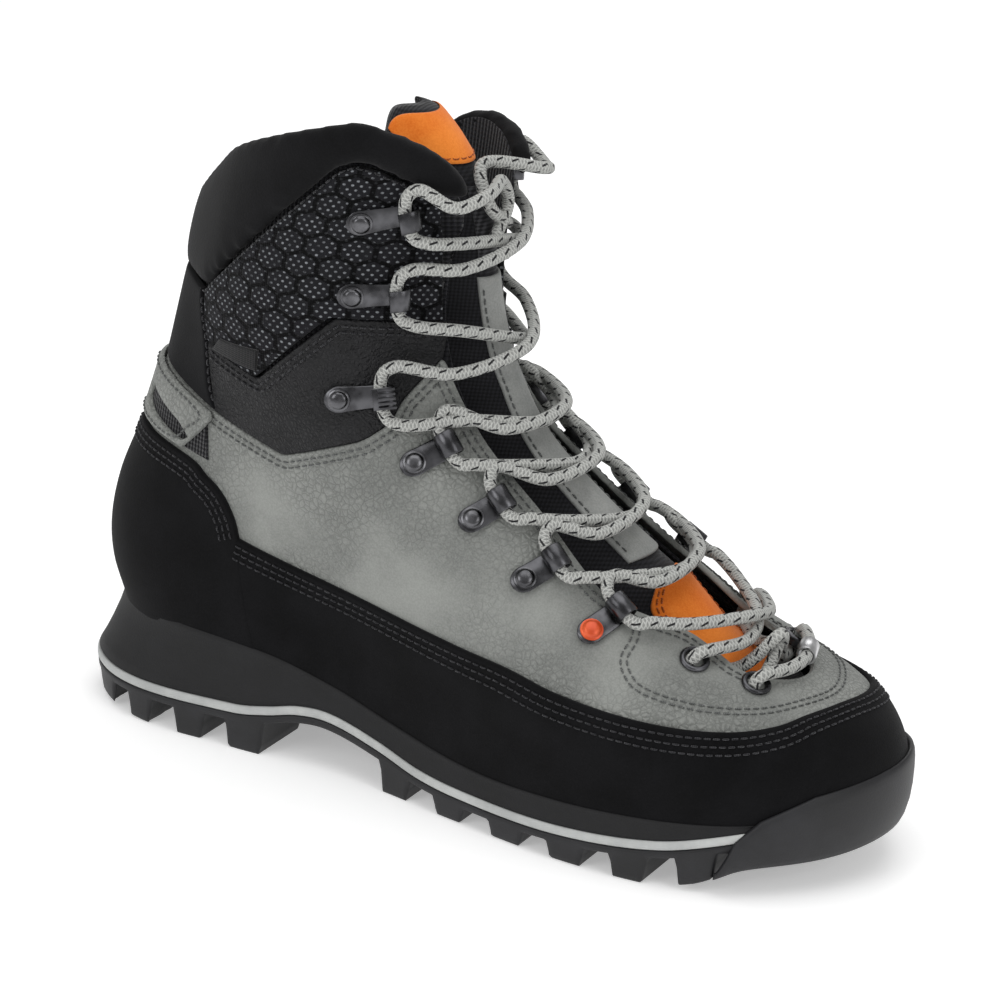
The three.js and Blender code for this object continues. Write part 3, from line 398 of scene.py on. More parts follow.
def make_pebble():
    """Height of leather grain: rounded cells with creases between them, warped by noise."""
    n, entry, way_out = new_group("pebble", [("Vector", 0), ("Scale", 500.0)], ["Height", "Crease"])
    warp = n.add("ShaderNodeTexNoise", {}, Vector=entry.outputs["Vector"],
                 Scale=n.math("MULTIPLY", entry.outputs["Scale"], 0.5), Detail=2.0)
    shift = n.add("ShaderNodeVectorMath", {"operation": "SCALE"}, i0=warp.outputs[1],
                  Scale=0.0022).outputs[0]
    place = n.add("ShaderNodeVectorMath", {"operation": "ADD"}, i0=entry.outputs["Vector"],
                  i1=shift).outputs[0]
    cells = n.add("ShaderNodeTexVoronoi", {"feature": "DISTANCE_TO_EDGE"}, Vector=place,
                  Scale=entry.outputs["Scale"])
    height = n.ramp(cells.outputs[0], 0.0, 0.35)
    crease = n.math("SUBTRACT", 1.0, n.ramp(cells.outputs[0], 0.0, 0.12))
    n.tree.links.new(height, way_out.inputs["Height"])
    n.tree.links.new(crease, way_out.inputs["Crease"])
    return n.tree


def make_weave():
    """Height of a plain weave: two crossed rows of rounded threads."""
    n, entry, way_out = new_group("weave", [("Vector", 0), ("Scale", 1200.0)], ["Height"])
    place = n.add("ShaderNodeVectorMath", {"operation": "SCALE"}, i0=entry.outputs["Vector"],
                  Scale=entry.outputs["Scale"]).outputs[0]
    parts = n.add("ShaderNodeSeparateXYZ", {}, Vector=place)
    a = n.math("SINE", n.math("ADD", parts.outputs[0], parts.outputs[2]))
    b = n.math("SINE", n.math("SUBTRACT", parts.outputs[0], parts.outputs[2]))
    n.tree.links.new(n.math("MULTIPLY", a, b), way_out.inputs["Height"])
    return n.tree


GRAIN, PEBBLE, WEAVE = make_grain(), make_pebble(), make_weave()
print("groups:", [g.name for g in bpy.data.node_groups])

# %% A material around its shader


def colour(hexed):
    """Linear colour from a display colour written as six hex digits."""
    parts = [int(hexed[k:k + 2], 16) / 255 for k in (0, 2, 4)]
    return tuple(((c + 0.055) / 1.055) ** 2.4 if c > 0.04045 else c / 12.92 for c in parts) + (1.0,)


class Finish:
    """A material with a Principled shader, its coordinates, and helpers for its groups."""

    def __init__(self, name, roughness=0.8, metallic=0.0, specular=0.5, sheen=0.0, coat=0.0):
        self.material = bpy.data.materials.new(name)
        self.material.use_nodes = True
        self.n = Nodes(self.material.node_tree)
        self.shader = self.material.node_tree.nodes["Principled BSDF"]
        self.set("Roughness", roughness)
        self.set("Metallic", metallic)
        self.set("Specular IOR Level", specular)
        self.set("Sheen Weight", sheen)
        self.set("Coat Weight", coat)
        self.place = self.n.add("ShaderNodeTexCoord").outputs["Object"]
        self.uv = None

    def set(self, name, value):
        """A constant on the shader's own socket, or a link to it."""
        if isinstance(value, bpy.types.NodeSocket):
            self.n.tree.links.new(value, self.shader.inputs[name])
        else:
            self.shader.inputs[name].default_value = value

    def group(self, tree, **inputs):
        """One of the shared groups, on object coordinates unless told otherwise."""
        inputs.setdefault("Vector", self.place)
        return self.n.add("ShaderNodeGroup", {"node_tree": tree}, **inputs)

    def flat_map(self):
        """The piece's own UV map, in metres."""
        return self.n.add("ShaderNodeUVMap", {"uv_map": "surface"}).outputs[0]

    def bump(self, *layers):
        """Chained bumps: (height socket, distance in metres)."""
        normal = None
        for height, distance in layers:
            node = self.n.add("ShaderNodeBump", {}, Height=height, Distance=distance, Strength=1.0)
            if normal is not None:
                self.n.tree.links.new(normal, node.inputs["Normal"])
            normal = node.outputs[0]
        self.set("Normal", normal)


def napped(name, dark, light, roughness=0.9, scale=1400.0, nap=0.00012, sheen=0.25, mottle=(0.3, 0.7)):
    """Suede, nubuck or microfibre: a soft mottle between two colours and a fine nap."""
    f = Finish(name, roughness=roughness, specular=0.12, sheen=sheen)
    grain = f.group(GRAIN, Scale=scale)
    fine = f.n.ramp(grain.outputs["Height"], 0.3, 0.7)
    share = f.n.math("ADD", f.n.math("MULTIPLY", f.n.ramp(grain.outputs["Mottle"], *mottle), 0.65),
                     f.n.math("MULTIPLY", fine, 0.35))
    f.set("Base Color", f.n.mix(share, colour(dark), colour(light)))
    f.bump((grain.outputs["Height"], nap))
    return f


def nubuck():
    """Grey nubuck: a fine pebble with darker creases in patches, over a cloudy tone."""
    f = Finish("grey_nubuck", roughness=0.82, specular=0.3, sheen=0.12)
    grain = f.group(GRAIN, Scale=1500.0)
    pebble = f.group(PEBBLE, Scale=420.0)
    clouds = f.n.add("ShaderNodeTexNoise", {}, Vector=f.place, Scale=26.0, Detail=5.0,
                     Roughness=0.6).outputs[0]
    tone = f.n.mix(f.n.ramp(clouds, 0.3, 0.72), colour("6f716e"), colour("8d8f8b"))
    speck = f.n.math("MULTIPLY", f.n.ramp(grain.outputs["Height"], 0.35, 0.65), 0.22)
    tone = f.n.mix(speck, tone, colour("adafaa"))
    where = f.n.ramp(f.n.add("ShaderNodeTexNoise", {}, Vector=f.place, Scale=17.0, Detail=2.0).outputs[0],
                     0.36, 0.56)
    crease = f.n.math("MULTIPLY", f.n.math("MULTIPLY", pebble.outputs["Crease"], where), 0.6)
    f.set("Base Color", f.n.mix(crease, tone, colour("5e605d")))
    raised = f.n.math("MULTIPLY", pebble.outputs["Height"], where)
    f.bump((clouds, 0.0012), (raised, 0.00045), (grain.outputs["Height"], 0.00007))
    return f


def pebbled(name, dark, light, roughness, scale, depth):
    """Finished leather or a grained moulding: pebble bump, creases a little rougher."""
    f = Finish(name, roughness=roughness, specular=0.3)
    pebble = f.group(PEBBLE, Scale=scale)
    grain = f.group(GRAIN, Scale=1800.0)
    share = f.n.ramp(grain.outputs["Mottle"], 0.3, 0.7)
    f.set("Base Color", f.n.mix(share, colour(dark), colour(light)))
    f.set("Roughness", f.n.math("ADD", roughness - 0.06,
        f.n.math("MULTIPLY", pebble.outputs["Crease"], 0.2)))
    f.bump((pebble.outputs["Height"], depth), (grain.outputs["Height"], depth * 0.2))
    return f


def textile(name, dark, light, scale=2600.0, depth=0.00012, sheen=0.2):
    """Woven or knitted cloth on object coordinates."""
    f = Finish(name, roughness=0.92, specular=0.2, sheen=sheen)
    weave = f.group(WEAVE, Scale=scale)
    grain = f.group(GRAIN, Scale=1300.0)
    share = f.n.ramp(weave.outputs["Height"], -0.6, 0.8)
    base = f.n.mix(share, colour(dark), colour(light))
    f.set("Base Color", f.n.mix(f.n.math("MULTIPLY", grain.outputs["Mottle"], 0.3), base, colour(dark)))
    f.bump((weave.outputs["Height"], depth), (grain.outputs["Height"], depth * 0.6))
    return f


def dotted_mesh():
    """Cuff textile: rows of small pale dots between dark hexagon outlines, read off the piece's own map."""
    f = Finish("dotted_cuff", roughness=0.9, specular=0.12, sheen=0.04)
    n = f.n
    parts = n.add("ShaderNodeSeparateXYZ", {}, Vector=f.flat_map())
    u, w = parts.outputs[0], parts.outputs[1]
    pitch_u, pitch_w = 0.0021, 0.00165
    row = n.math("DIVIDE", w, pitch_w)
    shift = n.math("MULTIPLY", n.math("MODULO", n.math("FLOOR", row), 2.0), 0.5)
    du = n.math("SUBTRACT", n.math("FRACT", n.math("ADD", n.math("DIVIDE", u, pitch_u), shift)), 0.5)
    dw = n.math("SUBTRACT", n.math("FRACT", row), 0.5)
    reach = n.math("SQRT", n.math("ADD", n.math("MULTIPLY", du, du),
        n.math("MULTIPLY", n.math("MULTIPLY", dw, dw), 0.55)))
    dot = n.math("SUBTRACT", 1.0, n.ramp(reach, 0.12, 0.24))
    size = 0.0086
    hexes = hexagon_edge(n, u, w, size)
    line = n.math("SUBTRACT", 1.0, n.ramp(hexes, 0.05, 0.1))
    vary = n.add("ShaderNodeTexNoise", {}, Vector=f.place, Scale=420.0, Detail=2.0).outputs[0]
    dot = n.math("MULTIPLY", dot, n.math("MULTIPLY",
        n.math("SUBTRACT", 1.0, n.math("MULTIPLY", line, 0.92)), n.ramp(vary, 0.25, 0.6)))
    f.set("Base Color", n.mix(dot, n.mix(line, colour("1c1c1f"), colour("040405")), colour("808387")))
    height = n.math("ADD", dot, n.math("MULTIPLY", line, -1.6))
    f.bump((height, 0.00022), (f.group(WEAVE, Scale=3600.0).outputs["Height"], 0.00008))
    return f


def hexagon_edge(n, u, w, size):
    """Distance to the nearest edge of a honeycomb, in cells: two offset lattices, the nearer centre wins."""
    root = math.sqrt(3)
    x = n.math("DIVIDE", u, size)
    y = n.math("DIVIDE", w, size * root)

    def lattice(shift):
        dx = n.math("SUBTRACT", n.math("FRACT", n.math("ADD", x, shift)), 0.5)
        dy = n.math("MULTIPLY", n.math("SUBTRACT", n.math("FRACT", n.math("ADD", y, shift)), 0.5), root)
        ax, ay = n.math("ABSOLUTE", dx), n.math("ABSOLUTE", dy)
        slanted = n.math("ADD", n.math("MULTIPLY", ax, 0.5), n.math("MULTIPLY", ay, root / 2))
        return n.math("MAXIMUM", ax, slanted)

    return n.math("ABSOLUTE", n.math("SUBTRACT", 0.5, n.math("MINIMUM", lattice(0.0), lattice(0.5))))


def braid():
    """Round lace: two sets of spiral threads, and rows of short dark dashes, on the map (length, turn)."""
    f = Finish("braided_lace", roughness=0.85, specular=0.25, sheen=0.1)
    n = f.n
    parts = n.add("ShaderNodeSeparateXYZ", {}, Vector=f.flat_map())
    length, turn = parts.outputs[0], parts.outputs[1]
    pitch = 0.0052
    a = n.math("ADD", n.math("DIVIDE", length, pitch), turn)
    b = n.math("SUBTRACT", n.math("DIVIDE", length, pitch), turn)
    wave_a = n.math("SINE", n.math("MULTIPLY", a, 2 * math.pi * 4))
    wave_b = n.math("SINE", n.math("MULTIPLY", b, 2 * math.pi * 4))
    ribs = n.math("MAXIMUM", wave_a, wave_b)
    row = n.math("FRACT", n.math("MULTIPLY", turn, 4.0))
    half_step = n.math("MULTIPLY", n.math("MODULO", n.math("FLOOR", n.math("MULTIPLY", turn, 4.0)), 2.0),
                       0.5)
    along = n.math("FRACT", n.math("ADD", n.math("DIVIDE", length, 0.0058), half_step))
    slanted = n.math("ADD", n.math("SUBTRACT", row, 0.5),
                     n.math("MULTIPLY", n.math("SUBTRACT", along, 0.5), 0.8))
    inside = n.math("SUBTRACT", 1.0, n.ramp(n.math("ABSOLUTE", slanted), 0.09, 0.15))
    inside = n.math("MULTIPLY", inside, n.math("SUBTRACT", 1.0,
        n.ramp(n.math("ABSOLUTE", n.math("SUBTRACT", along, 0.5)), 0.2, 0.26)))
    pale = n.mix(n.ramp(ribs, -0.2, 1.0), colour("9a9b98"), colour("bcbdb9"))
    f.set("Base Color", n.mix(inside, pale, colour("1d1d20")))
    f.bump((ribs, 0.0002))
    return f


def metal(name, tone, roughness=0.32, metallic=1.0):
    """Plated sheet metal with a faint cloud in its gloss and fine scratches."""
    f = Finish(name, metallic=metallic)
    cloud = f.n.add("ShaderNodeTexNoise", {}, Vector=f.place, Scale=160.0, Detail=4.0).outputs[0]
    scratch = f.n.add("ShaderNodeTexNoise", {}, Vector=f.place, Scale=2200.0, Detail=2.0).outputs[0]
    f.set("Base Color", f.n.mix(f.n.ramp(cloud, 0.3, 0.7), colour(tone[0]), colour(tone[1])))
    f.set("Roughness", f.n.math("ADD", roughness - 0.08, f.n.math("MULTIPLY", cloud, 0.2)))
    f.bump((scratch, 0.00002))
    return f


def moulded(name, dark, light, roughness, grain_scale=1500.0, depth=0.0001):
    """Rubber or foam from a textured mould: grain, a dusty cloud, rougher where it is dusty."""
    f = Finish(name, specular=0.4)
    grain = f.group(GRAIN, Scale=grain_scale)
    share = f.n.ramp(grain.outputs["Mottle"], 0.35, 0.75)
    f.set("Base Color", f.n.mix(share, colour(dark), colour(light)))
    f.set("Roughness", f.n.math("ADD", roughness, f.n.math("MULTIPLY", grain.outputs["Mottle"], 0.15)))
    f.bump((grain.outputs["Height"], depth))
    return f


FINISH = {
    "nubuck": nubuck(),
    "black_leather": pebbled("pebbled_black_leather", "0d0d0f", "18181a", 0.52, 620.0, 0.0003),
    "black_suede": napped("black_suede", "070708", "111113", scale=1500.0, sheen=0.04),
    "stay_leather": napped("stay_leather", "08080a", "141416", scale=1500.0, sheen=0.05),
    "collar_suede": napped("collar_suede", "070708", "131315", scale=1300.0, sheen=0.07),
    "orange_suede": napped("orange_suede", "d8691c", "ef8c38", scale=1500.0, sheen=0.15),
    "tongue_strip": napped("strip_suede", "7d7f7d", "9fa09d", scale=1400.0, sheen=0.15),
    "dotted": dotted_mesh(),
    "black_textile": textile("black_textile", "0f0f11", "222226"),
    "lining": textile("lining_mesh", "101012", "29292e", scale=1900.0, depth=0.0003),
    "webbing": textile("ribbed_webbing", "0d0d0f", "26262a", scale=2100.0, depth=0.0004),
    "lace": braid(),
    "gunmetal": metal("gunmetal", ("3b3b3d", "5f5f62"), 0.26),
    "rivet_metal": metal("rivet_metal", ("3e3e40", "6c6c6f"), 0.24),
    "silver": metal("silver", ("a5a5a6", "d2d2d3"), 0.28),
    "enamel": metal("enamel", ("c94a22", "e25f30"), 0.32, metallic=0.25),
    "foam": moulded("midsole_foam", "09090b", "151517", 0.62, 1600.0, 0.00016),
    "stripe": moulded("pale_stripe", "a8aaa9", "c3c5c3", 0.5, 1500.0, 0.00004),
    "rubber": moulded("outsole_rubber", "151517", "232326", 0.45, 1400.0, 0.00008),
    "board": moulded("fibre_board", "8d6f49", "b4946a", 0.8, 700.0, 0.0002),
    "grey_thread": textile("grey_thread", "4c4e4d", "767876", scale=5200.0, depth=0.0001),
    "black_thread": textile("black_thread", "1b1b1d", "39393d", scale=5200.0, depth=0.0001),
    "orange_thread": textile("orange_thread", "8f4310", "c06222", scale=5200.0, depth=0.0001),
    "side_tag": textile("side_tag", "0b0b0c", "19191b", scale=4200.0, depth=0.00006),
    "label": textile("label_cloth", "1a1a1c", "4a4a4d", scale=2400.0, depth=0.0001),
}
print(len(FINISH), "finishes")

# %% [markdown]
# Every leather piece is a plate: a patch of the form with a thickness, a cut edge that stands up
# straight, and a rounded rim. The patch is filled in between its boundary curves, and its rows are
# packed closer together near the rim, so that the rim catches light.

# %% Meshes from grids


def to_object(name, points, faces, finish, uv=None, body="boot", shade=True):
    """A mesh object from points in drawing millimetres, riding on a body."""
    mesh = bpy.data.meshes.new(name)
    mesh.from_pydata(((np.asarray(points) + SHIFT) / 1000).tolist(), [],
                     np.asarray(faces).tolist() if not isinstance(faces, list) else faces)
    if uv is not None:
        layer = mesh.uv_layers.new(name="surface")
        corner = np.zeros(len(mesh.loops), np.int32)
        mesh.loops.foreach_get("vertex_index", corner)
        layer.data.foreach_set("uv", np.asarray(uv, np.float32)[corner].reshape(-1))
    mesh.polygons.foreach_set("use_smooth", [shade] * len(mesh.polygons))
    mesh.materials.append(FINISH[finish].material)
    piece = bpy.data.objects.new(name, mesh)
    bpy.context.scene.collection.objects.link(piece)
    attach(piece, body)
    return piece


def edited(piece, change):
    """The piece's mesh after a change made in bmesh."""
    work = bmesh.new()
    work.from_mesh(piece.data)
    change(work)
    work.to_mesh(piece.data)
    work.free()


def recalc(piece):
    """Faces of a closed shell turned outwards."""
    edited(piece, lambda work: bmesh.ops.recalc_face_normals(work, faces=work.faces))


def capped(n, m):
    """Faces of a tube of n rings of m points, with a lid on each end."""
    lids = [list(range(m)), [(n - 1) * m + k for k in range(m)][::-1]]
    return grid_quads(n, m, wrap_j=True).tolist() + lids


def border_of(n, m):
    """Indices of an n by m grid's border points, in order round it."""
    return np.concatenate([np.arange(n) * m, (n - 1) * m + np.arange(1, m),
                           np.arange(n - 1)[::-1] * m + m - 1,
                           np.arange(m - 1)[::-1][:-1]])


def smooth_faces(piece):
    """Every face shaded smooth."""
    piece.data.polygons.foreach_set("use_smooth", [True] * len(piece.data.polygons))


def weld(piece, gap=0.00001):
    """Points that lie on each other are merged."""
    edited(piece, lambda work: bmesh.ops.remove_doubles(work, verts=work.verts, dist=gap))
    smooth_faces(piece)


def grid_quads(n, m, wrap_i=False, wrap_j=False, start=0):
    """Quads of an n by m grid of points, row by row."""
    i = np.arange(n if wrap_i else n - 1)[:, None]
    j = np.arange(m if wrap_j else m - 1)[None, :]
    ni, nj = (i + 1) % n, (j + 1) % m
    quad = np.stack(np.broadcast_arrays(i * m + j, ni * m + j, ni * m + nj, i * m + nj), -1)
    return quad.reshape(-1, 4) + start


def rim_steps(n, rim):
    """Parameters from 0 to 1 with extra rows near both ends; rim is the share that the rounding takes."""
    inner = np.linspace(rim, 1 - rim, n)
    edge = rim * np.array([0, 0.06, 0.2, 0.42, 0.7])
    return np.concatenate([edge, inner, 1 - edge[::-1]])


def patch(low, high, n, m, start=None, end=None, rim=(0.01, 0.03)):
    """Places of a patch between four curves (a Coons patch): the ruled surface between low and high
    plus the one between start and end, less the one between the corners."""
    s, t = rim_steps(n, rim[0]), rim_steps(m, rim[1])
    knots = np.linspace(0, 1, 200)

    def at(curve, q):
        curve = spaced(curve, 200)
        return np.stack([np.interp(q, knots, curve[:, k]) for k in (0, 1)], -1)

    bottom, top = at(np.asarray(low), s), at(np.asarray(high), s)
    first = at(np.asarray(start), t) if start is not None else bottom[0] + (top[0] - bottom[0]) * t[:, None]
    final = at(np.asarray(end), t) if end is not None else bottom[-1] + (top[-1] - bottom[-1]) * t[:, None]
    S, T = s[:, None, None], t[None, :, None]
    ruled = bottom[:, None] * (1 - T) + top[:, None] * T
    across = first[None] * (1 - S) + final[None] * S
    corners = (bottom[0] * (1 - S) + bottom[-1] * S) * (1 - T) + (top[0] * (1 - S) + top[-1] * S) * T
    return ruled + across - corners


def lifted(places, height):
    """Points over places on the form, by a height along its normal."""
    return form(places[..., 0], places[..., 1]) + form_normal(places[..., 0], places[..., 1]) * height


def rim_distance(points):
    """Distance in millimetres of each grid point from the nearest border, along the grid lines."""
    di = np.linalg.norm(np.diff(points, axis=0), axis=-1)
    dj = np.linalg.norm(np.diff(points, axis=1), axis=-1)
    zi, zj = np.zeros((1, points.shape[1])), np.zeros((points.shape[0], 1))
    up = np.concatenate([zi, np.cumsum(di, 0)], 0)
    right = np.concatenate([zj, np.cumsum(dj, 1)], 1)
    return np.minimum(np.minimum(up, up[-1:] - up), np.minimum(right, right[:, -1:] - right))


def plate_arrays(places, low, high, radius=0.8):
    """Closed shell over a patch: an outer skin whose height rises from a cut edge over a rounded rim
    (a quarter circle of the given radius), an inner skin, and the wall between them."""
    n, m = places.shape[:2]
    angle, v = places[..., 0], places[..., 1]
    normal = form_normal(angle, v)
    ground = form(angle, v)
    q = np.clip(rim_distance(ground) / radius, 0, 1)
    thick = high - low
    height = low + thick * (0.4 + 0.6 * np.sqrt(1 - (1 - q) ** 2))
    under = np.full_like(height, low)
    outer = ground + normal * height[..., None]
    inner = ground + normal * np.broadcast_to(under, height.shape)[..., None]
    points = np.concatenate([outer.reshape(-1, 3), inner.reshape(-1, 3)])
    top = grid_quads(n, m)
    faces = [top, top[:, ::-1] + n * m]
    border = border_of(n, m)
    nxt = np.roll(border, -1)
    faces.append(np.stack([border, border + n * m, nxt + n * m, nxt], -1))
    faces = np.concatenate(faces)
    mid = top[len(top) // 2]
    cross = np.cross(outer.reshape(-1, 3)[mid[1]] - outer.reshape(-1, 3)[mid[0]],
                     outer.reshape(-1, 3)[mid[3]] - outer.reshape(-1, 3)[mid[0]])
    if np.dot(cross, normal.reshape(-1, 3)[mid[0]]) < 0:
        faces = faces[:, ::-1]
    return points, faces


def plate(name, places, low, high, finish, radius=0.8, body="boot", nodes=(), uv=None):
    """A leather or textile piece: the plate's arrays made an object that stands for its nodes."""
    points, faces = plate_arrays(places, low, high, radius)
    if uv is not None:
        flat = np.stack(uv(places[..., 0], places[..., 1]), -1).reshape(-1, 2)
        uv = np.concatenate([flat, flat])
    piece = to_object(name, points, faces, finish, uv, body)
    if nodes:
        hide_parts(*nodes)
    return piece


def both(curve):
    """A lateral curve that ends on the heel line, carried on round the heel to the medial side."""
    back = np.stack([2 * math.pi - curve[::-1, 0], curve[::-1, 1]], -1)
    return np.concatenate([curve, back[1:]])


def over_toe(curve):
    """A lateral curve that ends on the instep line, carried on over it to the medial side."""
    return np.concatenate([curve, mirror(curve)[::-1][1:]])


print("grid helpers ready")

# %% [markdown]
# The pattern pieces of the upper. Their seams are written from heel to toe on the lateral side; the
# medial side mirrors them. Grey nubuck makes vamp and quarter in one piece, open at the throat.

# %% Seams
PI = math.pi
TOP_OF_QUARTER = from_side([[14, 129], [50, 121], [81, 115], [112, 128], [120, 135], [122, 143],
                            [131, 157]], 60)
TOP_OF_QUARTER = np.vstack([[[PI, 7.02]], TOP_OF_QUARTER])
THROAT = rounded([[0.69, 8.96], [0.64, 8.35], [0.60, 7.76], [0.575, 7.2], [0.57, 6.77], [0.60, 6.2],
                  [0.60, 5.78], [0.47, 5.52], [0.36, 5.32], [0.335, 5.02], [0.335, 4.66], [0.28, 4.42],
                  [0.15, 4.27], [0.0, 4.22]], 120)
ZIGZAG = from_side([[43, 146], [70, 141], [99, 169], [120, 169.3], [132, 169.5]], 60)
COLLAR_LOW = from_side([[18, 163.5], [38, 163], [57, 182], [80, 205], [97, 222], [103, 225], [110, 224],
                        [118, 220.5], [127, 214.5]], 60)
COLLAR_LOW = np.vstack([[[PI, 9.02]], COLLAR_LOW[1:]])
TOPLINE = rounded([[PI, 10.22], [2.86, 10.33], [2.63, 10.6], [2.37, 11.0], [2.1, 11.35], [1.83, 11.61],
                   [1.59, 11.75], [1.41, 11.76], [1.17, 11.49], [0.92, 11.16], [0.72, 10.85],
                   [0.60, 10.6]], 120)
STAY_FRONT = rounded([[2.19, 6.76], [2.23, 7.2], [2.24, 8.06], [2.29, 8.5], [2.36, 9.0]], 30)
CAP_TOP = rounded([[PI, 5.43], [2.94, 5.41], [2.39, 5.44], [2.26, 5.25], [2.18, 5.02], [2.13, 4.57],
                   [2.11, 4.09]], 80)
RAND_TOP = rounded([[2.17, 4.16], [1.9, 3.80], [1.72, 3.64], [1.46, 3.43], [1.30, 3.36], [1.17, 3.12],
                    [0.95, 3.0], [0.70, 3.03], [0.5, 3.2], [0.33, 3.42], [0.15, 3.5], [0.0, 3.46],
                    [-0.2, 3.3], [-0.42, 3.07], [-0.7, 2.95], [-1.0, 3.0], [-1.3, 3.25], [-1.6, 3.5],
                    [-1.9, 3.8], [-2.17, 4.16]], 240)
FOOT = 0.5  # ring where the uppers end, tucked into the sole
# The collar stands lower on the medial side.
MEDIAL_X, MEDIAL_DROP = [25, 60, 95, 115, 135, 141], [0, 12, 17, 9, 3, 0]
MEDIAL_LOW = from_side([[18, 163.5], [38, 163], [57, 172], [80, 190], [97, 207], [105, 217], [112, 221.5],
                        [118, 220.5], [127, 214.5]], 60)
MEDIAL_LOW = np.vstack([[[PI, 9.02]], MEDIAL_LOW[1:]])


def lowered(curve):
    """A top line dropped on the medial side: v falls by the drop at x over the rise per ring."""
    angle, v = curve[:, 0], curve[:, 1]
    p = form(angle, v)
    per_ring = form(angle, v + 0.05)[:, 2] - form(angle, v - 0.05)[:, 2]
    drop = smooth(MEDIAL_X, MEDIAL_DROP, np.clip(p[:, 0], 25, 141))
    return np.column_stack([angle, v - drop / np.maximum(per_ring * 10, 15)])


def two_sided(lateral, medial):
    """A line from the front edge round the heel to the other front edge; each side has its own curve."""
    far = medial * [-1, 1] + [2 * PI, 0]
    return np.concatenate([lateral, far[::-1][1:]])


def level(v, start, end, n=100):
    """A stretch of one ring."""
    return np.stack([np.linspace(start, end, n), np.full(n, v)], -1)


quarter_high = np.concatenate([TOP_OF_QUARTER, THROAT[1:]])
upper_places = patch(over_toe(level(FOOT, PI, 0, 200)), over_toe(quarter_high), 330, 44, rim=(0.002, 0.02))
upper = plate("upper_leather_skin", upper_places, -2.0, 0.0, "nubuck", 1.0, nodes=["upper_leather"])
print("upper:", len(upper.data.polygons), "faces")

# %% Rand, heel cap and back stay
rand_low = level(FOOT, 2.16, -2.16, 200)
rand_places = patch(rand_low, RAND_TOP, 260, 22, rim=(0.002, 0.03))
plate("rand_skin", rand_places, 0.05, 1.9, "black_suede", 1.2, nodes=["rand"])
cap_low = both(level(FOOT, 2.1, PI, 100))
cap_places = patch(cap_low, both(CAP_TOP[::-1]), 150, 34, rim=(0.004, 0.015))
plate("heel_cap_skin", cap_places, 0.05, 2.0, "black_suede", 1.2, nodes=["heel_cap"])
stay_low = both(spaced(TOP_OF_QUARTER[(TOP_OF_QUARTER[:, 0] >= 2.19)][::-1], 60))
stay_high = both(spaced(np.array([[2.36, 9.0], [2.6, 9.02], [PI, 9.03]]), 60))
stay_end = np.stack([2 * PI - STAY_FRONT[:, 0], STAY_FRONT[:, 1]], -1)
stay_places = patch(stay_low, stay_high, 80, 26, STAY_FRONT, stay_end, rim=(0.01, 0.02))
plate("back_stay_skin", stay_places, -1.9, 0.5, "stay_leather", 1.2, nodes=["back_stay"])
print("rand, heel cap and back stay made")

# %% Ankle and cuff panels
quarter_behind = spaced(TOP_OF_QUARTER[TOP_OF_QUARTER[:, 0] <= 2.21], 80)
zigzag_line = spaced(ZIGZAG, 80)


def cuff_map(angle, v):
    """Cuff cloth laid flat: metres round the shaft at a 42 mm radius, and metres up it."""
    return angle * 0.042, form(angle, v)[..., 2] / 1000


for side, sign in (("lateral", 1), ("medial", -1)):
    flip = np.array([sign, 1.0])
    ankle = patch(quarter_behind * flip, zigzag_line * flip, 70, 24, rim=(0.01, 0.03))
    plate(f"ankle_panel_skin_{side}", ankle, -1.9, 0.0, "black_leather", 0.9, nodes=[f"ankle_panel_{side}"])
    cuff_front = spaced(np.array([[0.685, 9.4], [0.71, 9.8], [0.74, 10.2], [0.84, 10.62]]), 30)
    cuff_back = spaced(np.array([[2.24, 8.15], [2.29, 8.5], [2.34, 9.0]]), 30)
    seam = COLLAR_LOW if sign > 0 else MEDIAL_LOW
    under_collar = spaced(seam[seam[:, 0] <= 2.36], 80)
    cuff = patch(zigzag_line * flip, under_collar * flip, 90, 34, cuff_back * flip, cuff_front * flip,
                 rim=(0.01, 0.03))
    plate(f"cuff_skin_{side}", cuff, -2.1, -0.3, "dotted", 0.6, nodes=[f"cuff_panel_{side}"], uv=cuff_map)
print("ankle and cuff panels made")

# %% [markdown]
# The collar is foam wrapped in soft suede. It is a closed tube of padding round the top of the
# shaft, so its crown is a swelling of the plate, and then a short cloth simulation with a little
# air pressure lets the cover settle into a stuffed shape.

# %% Collar
collar_low = two_sided(spaced(COLLAR_LOW, 140)[::-1], spaced(MEDIAL_LOW, 140)[::-1])
collar_high = two_sided(spaced(TOPLINE, 140)[::-1], spaced(lowered(TOPLINE), 140)[::-1])


def collar_arrays():
    """Loops round the padding's section, carried round the shaft: the outer side swells from the seam
    to the top line, turns over a round rim, and runs down inside to the lining."""
    s = np.linspace(0, 1, 240)
    knots = np.linspace(0, 1, 200)
    low, high = (np.stack([np.interp(s, knots, spaced(c, 200)[:, k]) for k in (0, 1)], -1)
                 for c in (collar_low, collar_high))
    t_out = np.concatenate([np.linspace(0.0, 0.93, 13), [1.0, 1.02, 1.0], np.linspace(0.93, 0.0, 13)])
    swell = np.concatenate([0.1 + 3.0 * np.sin(np.linspace(0.05, 1.0, 13) * PI * 0.66) ** 0.7,
                            [0.6, -1.6, -3.8], np.full(13, -5.4)])
    swell[-6:] = -5.0 + 0.3 * np.arange(6)
    fade = np.clip(np.minimum(s, 1 - s) / 0.03, 0, 1) ** 0.5
    places = low[:, None] + (high - low)[:, None] * t_out[None, :, None]
    height = -2.4 + (swell[None, :] + 2.4) * (0.35 + 0.65 * fade[:, None])
    points = lifted(places, height[..., None])
    n, m = points.shape[:2]
    return points.reshape(-1, 3), capped(n, m)


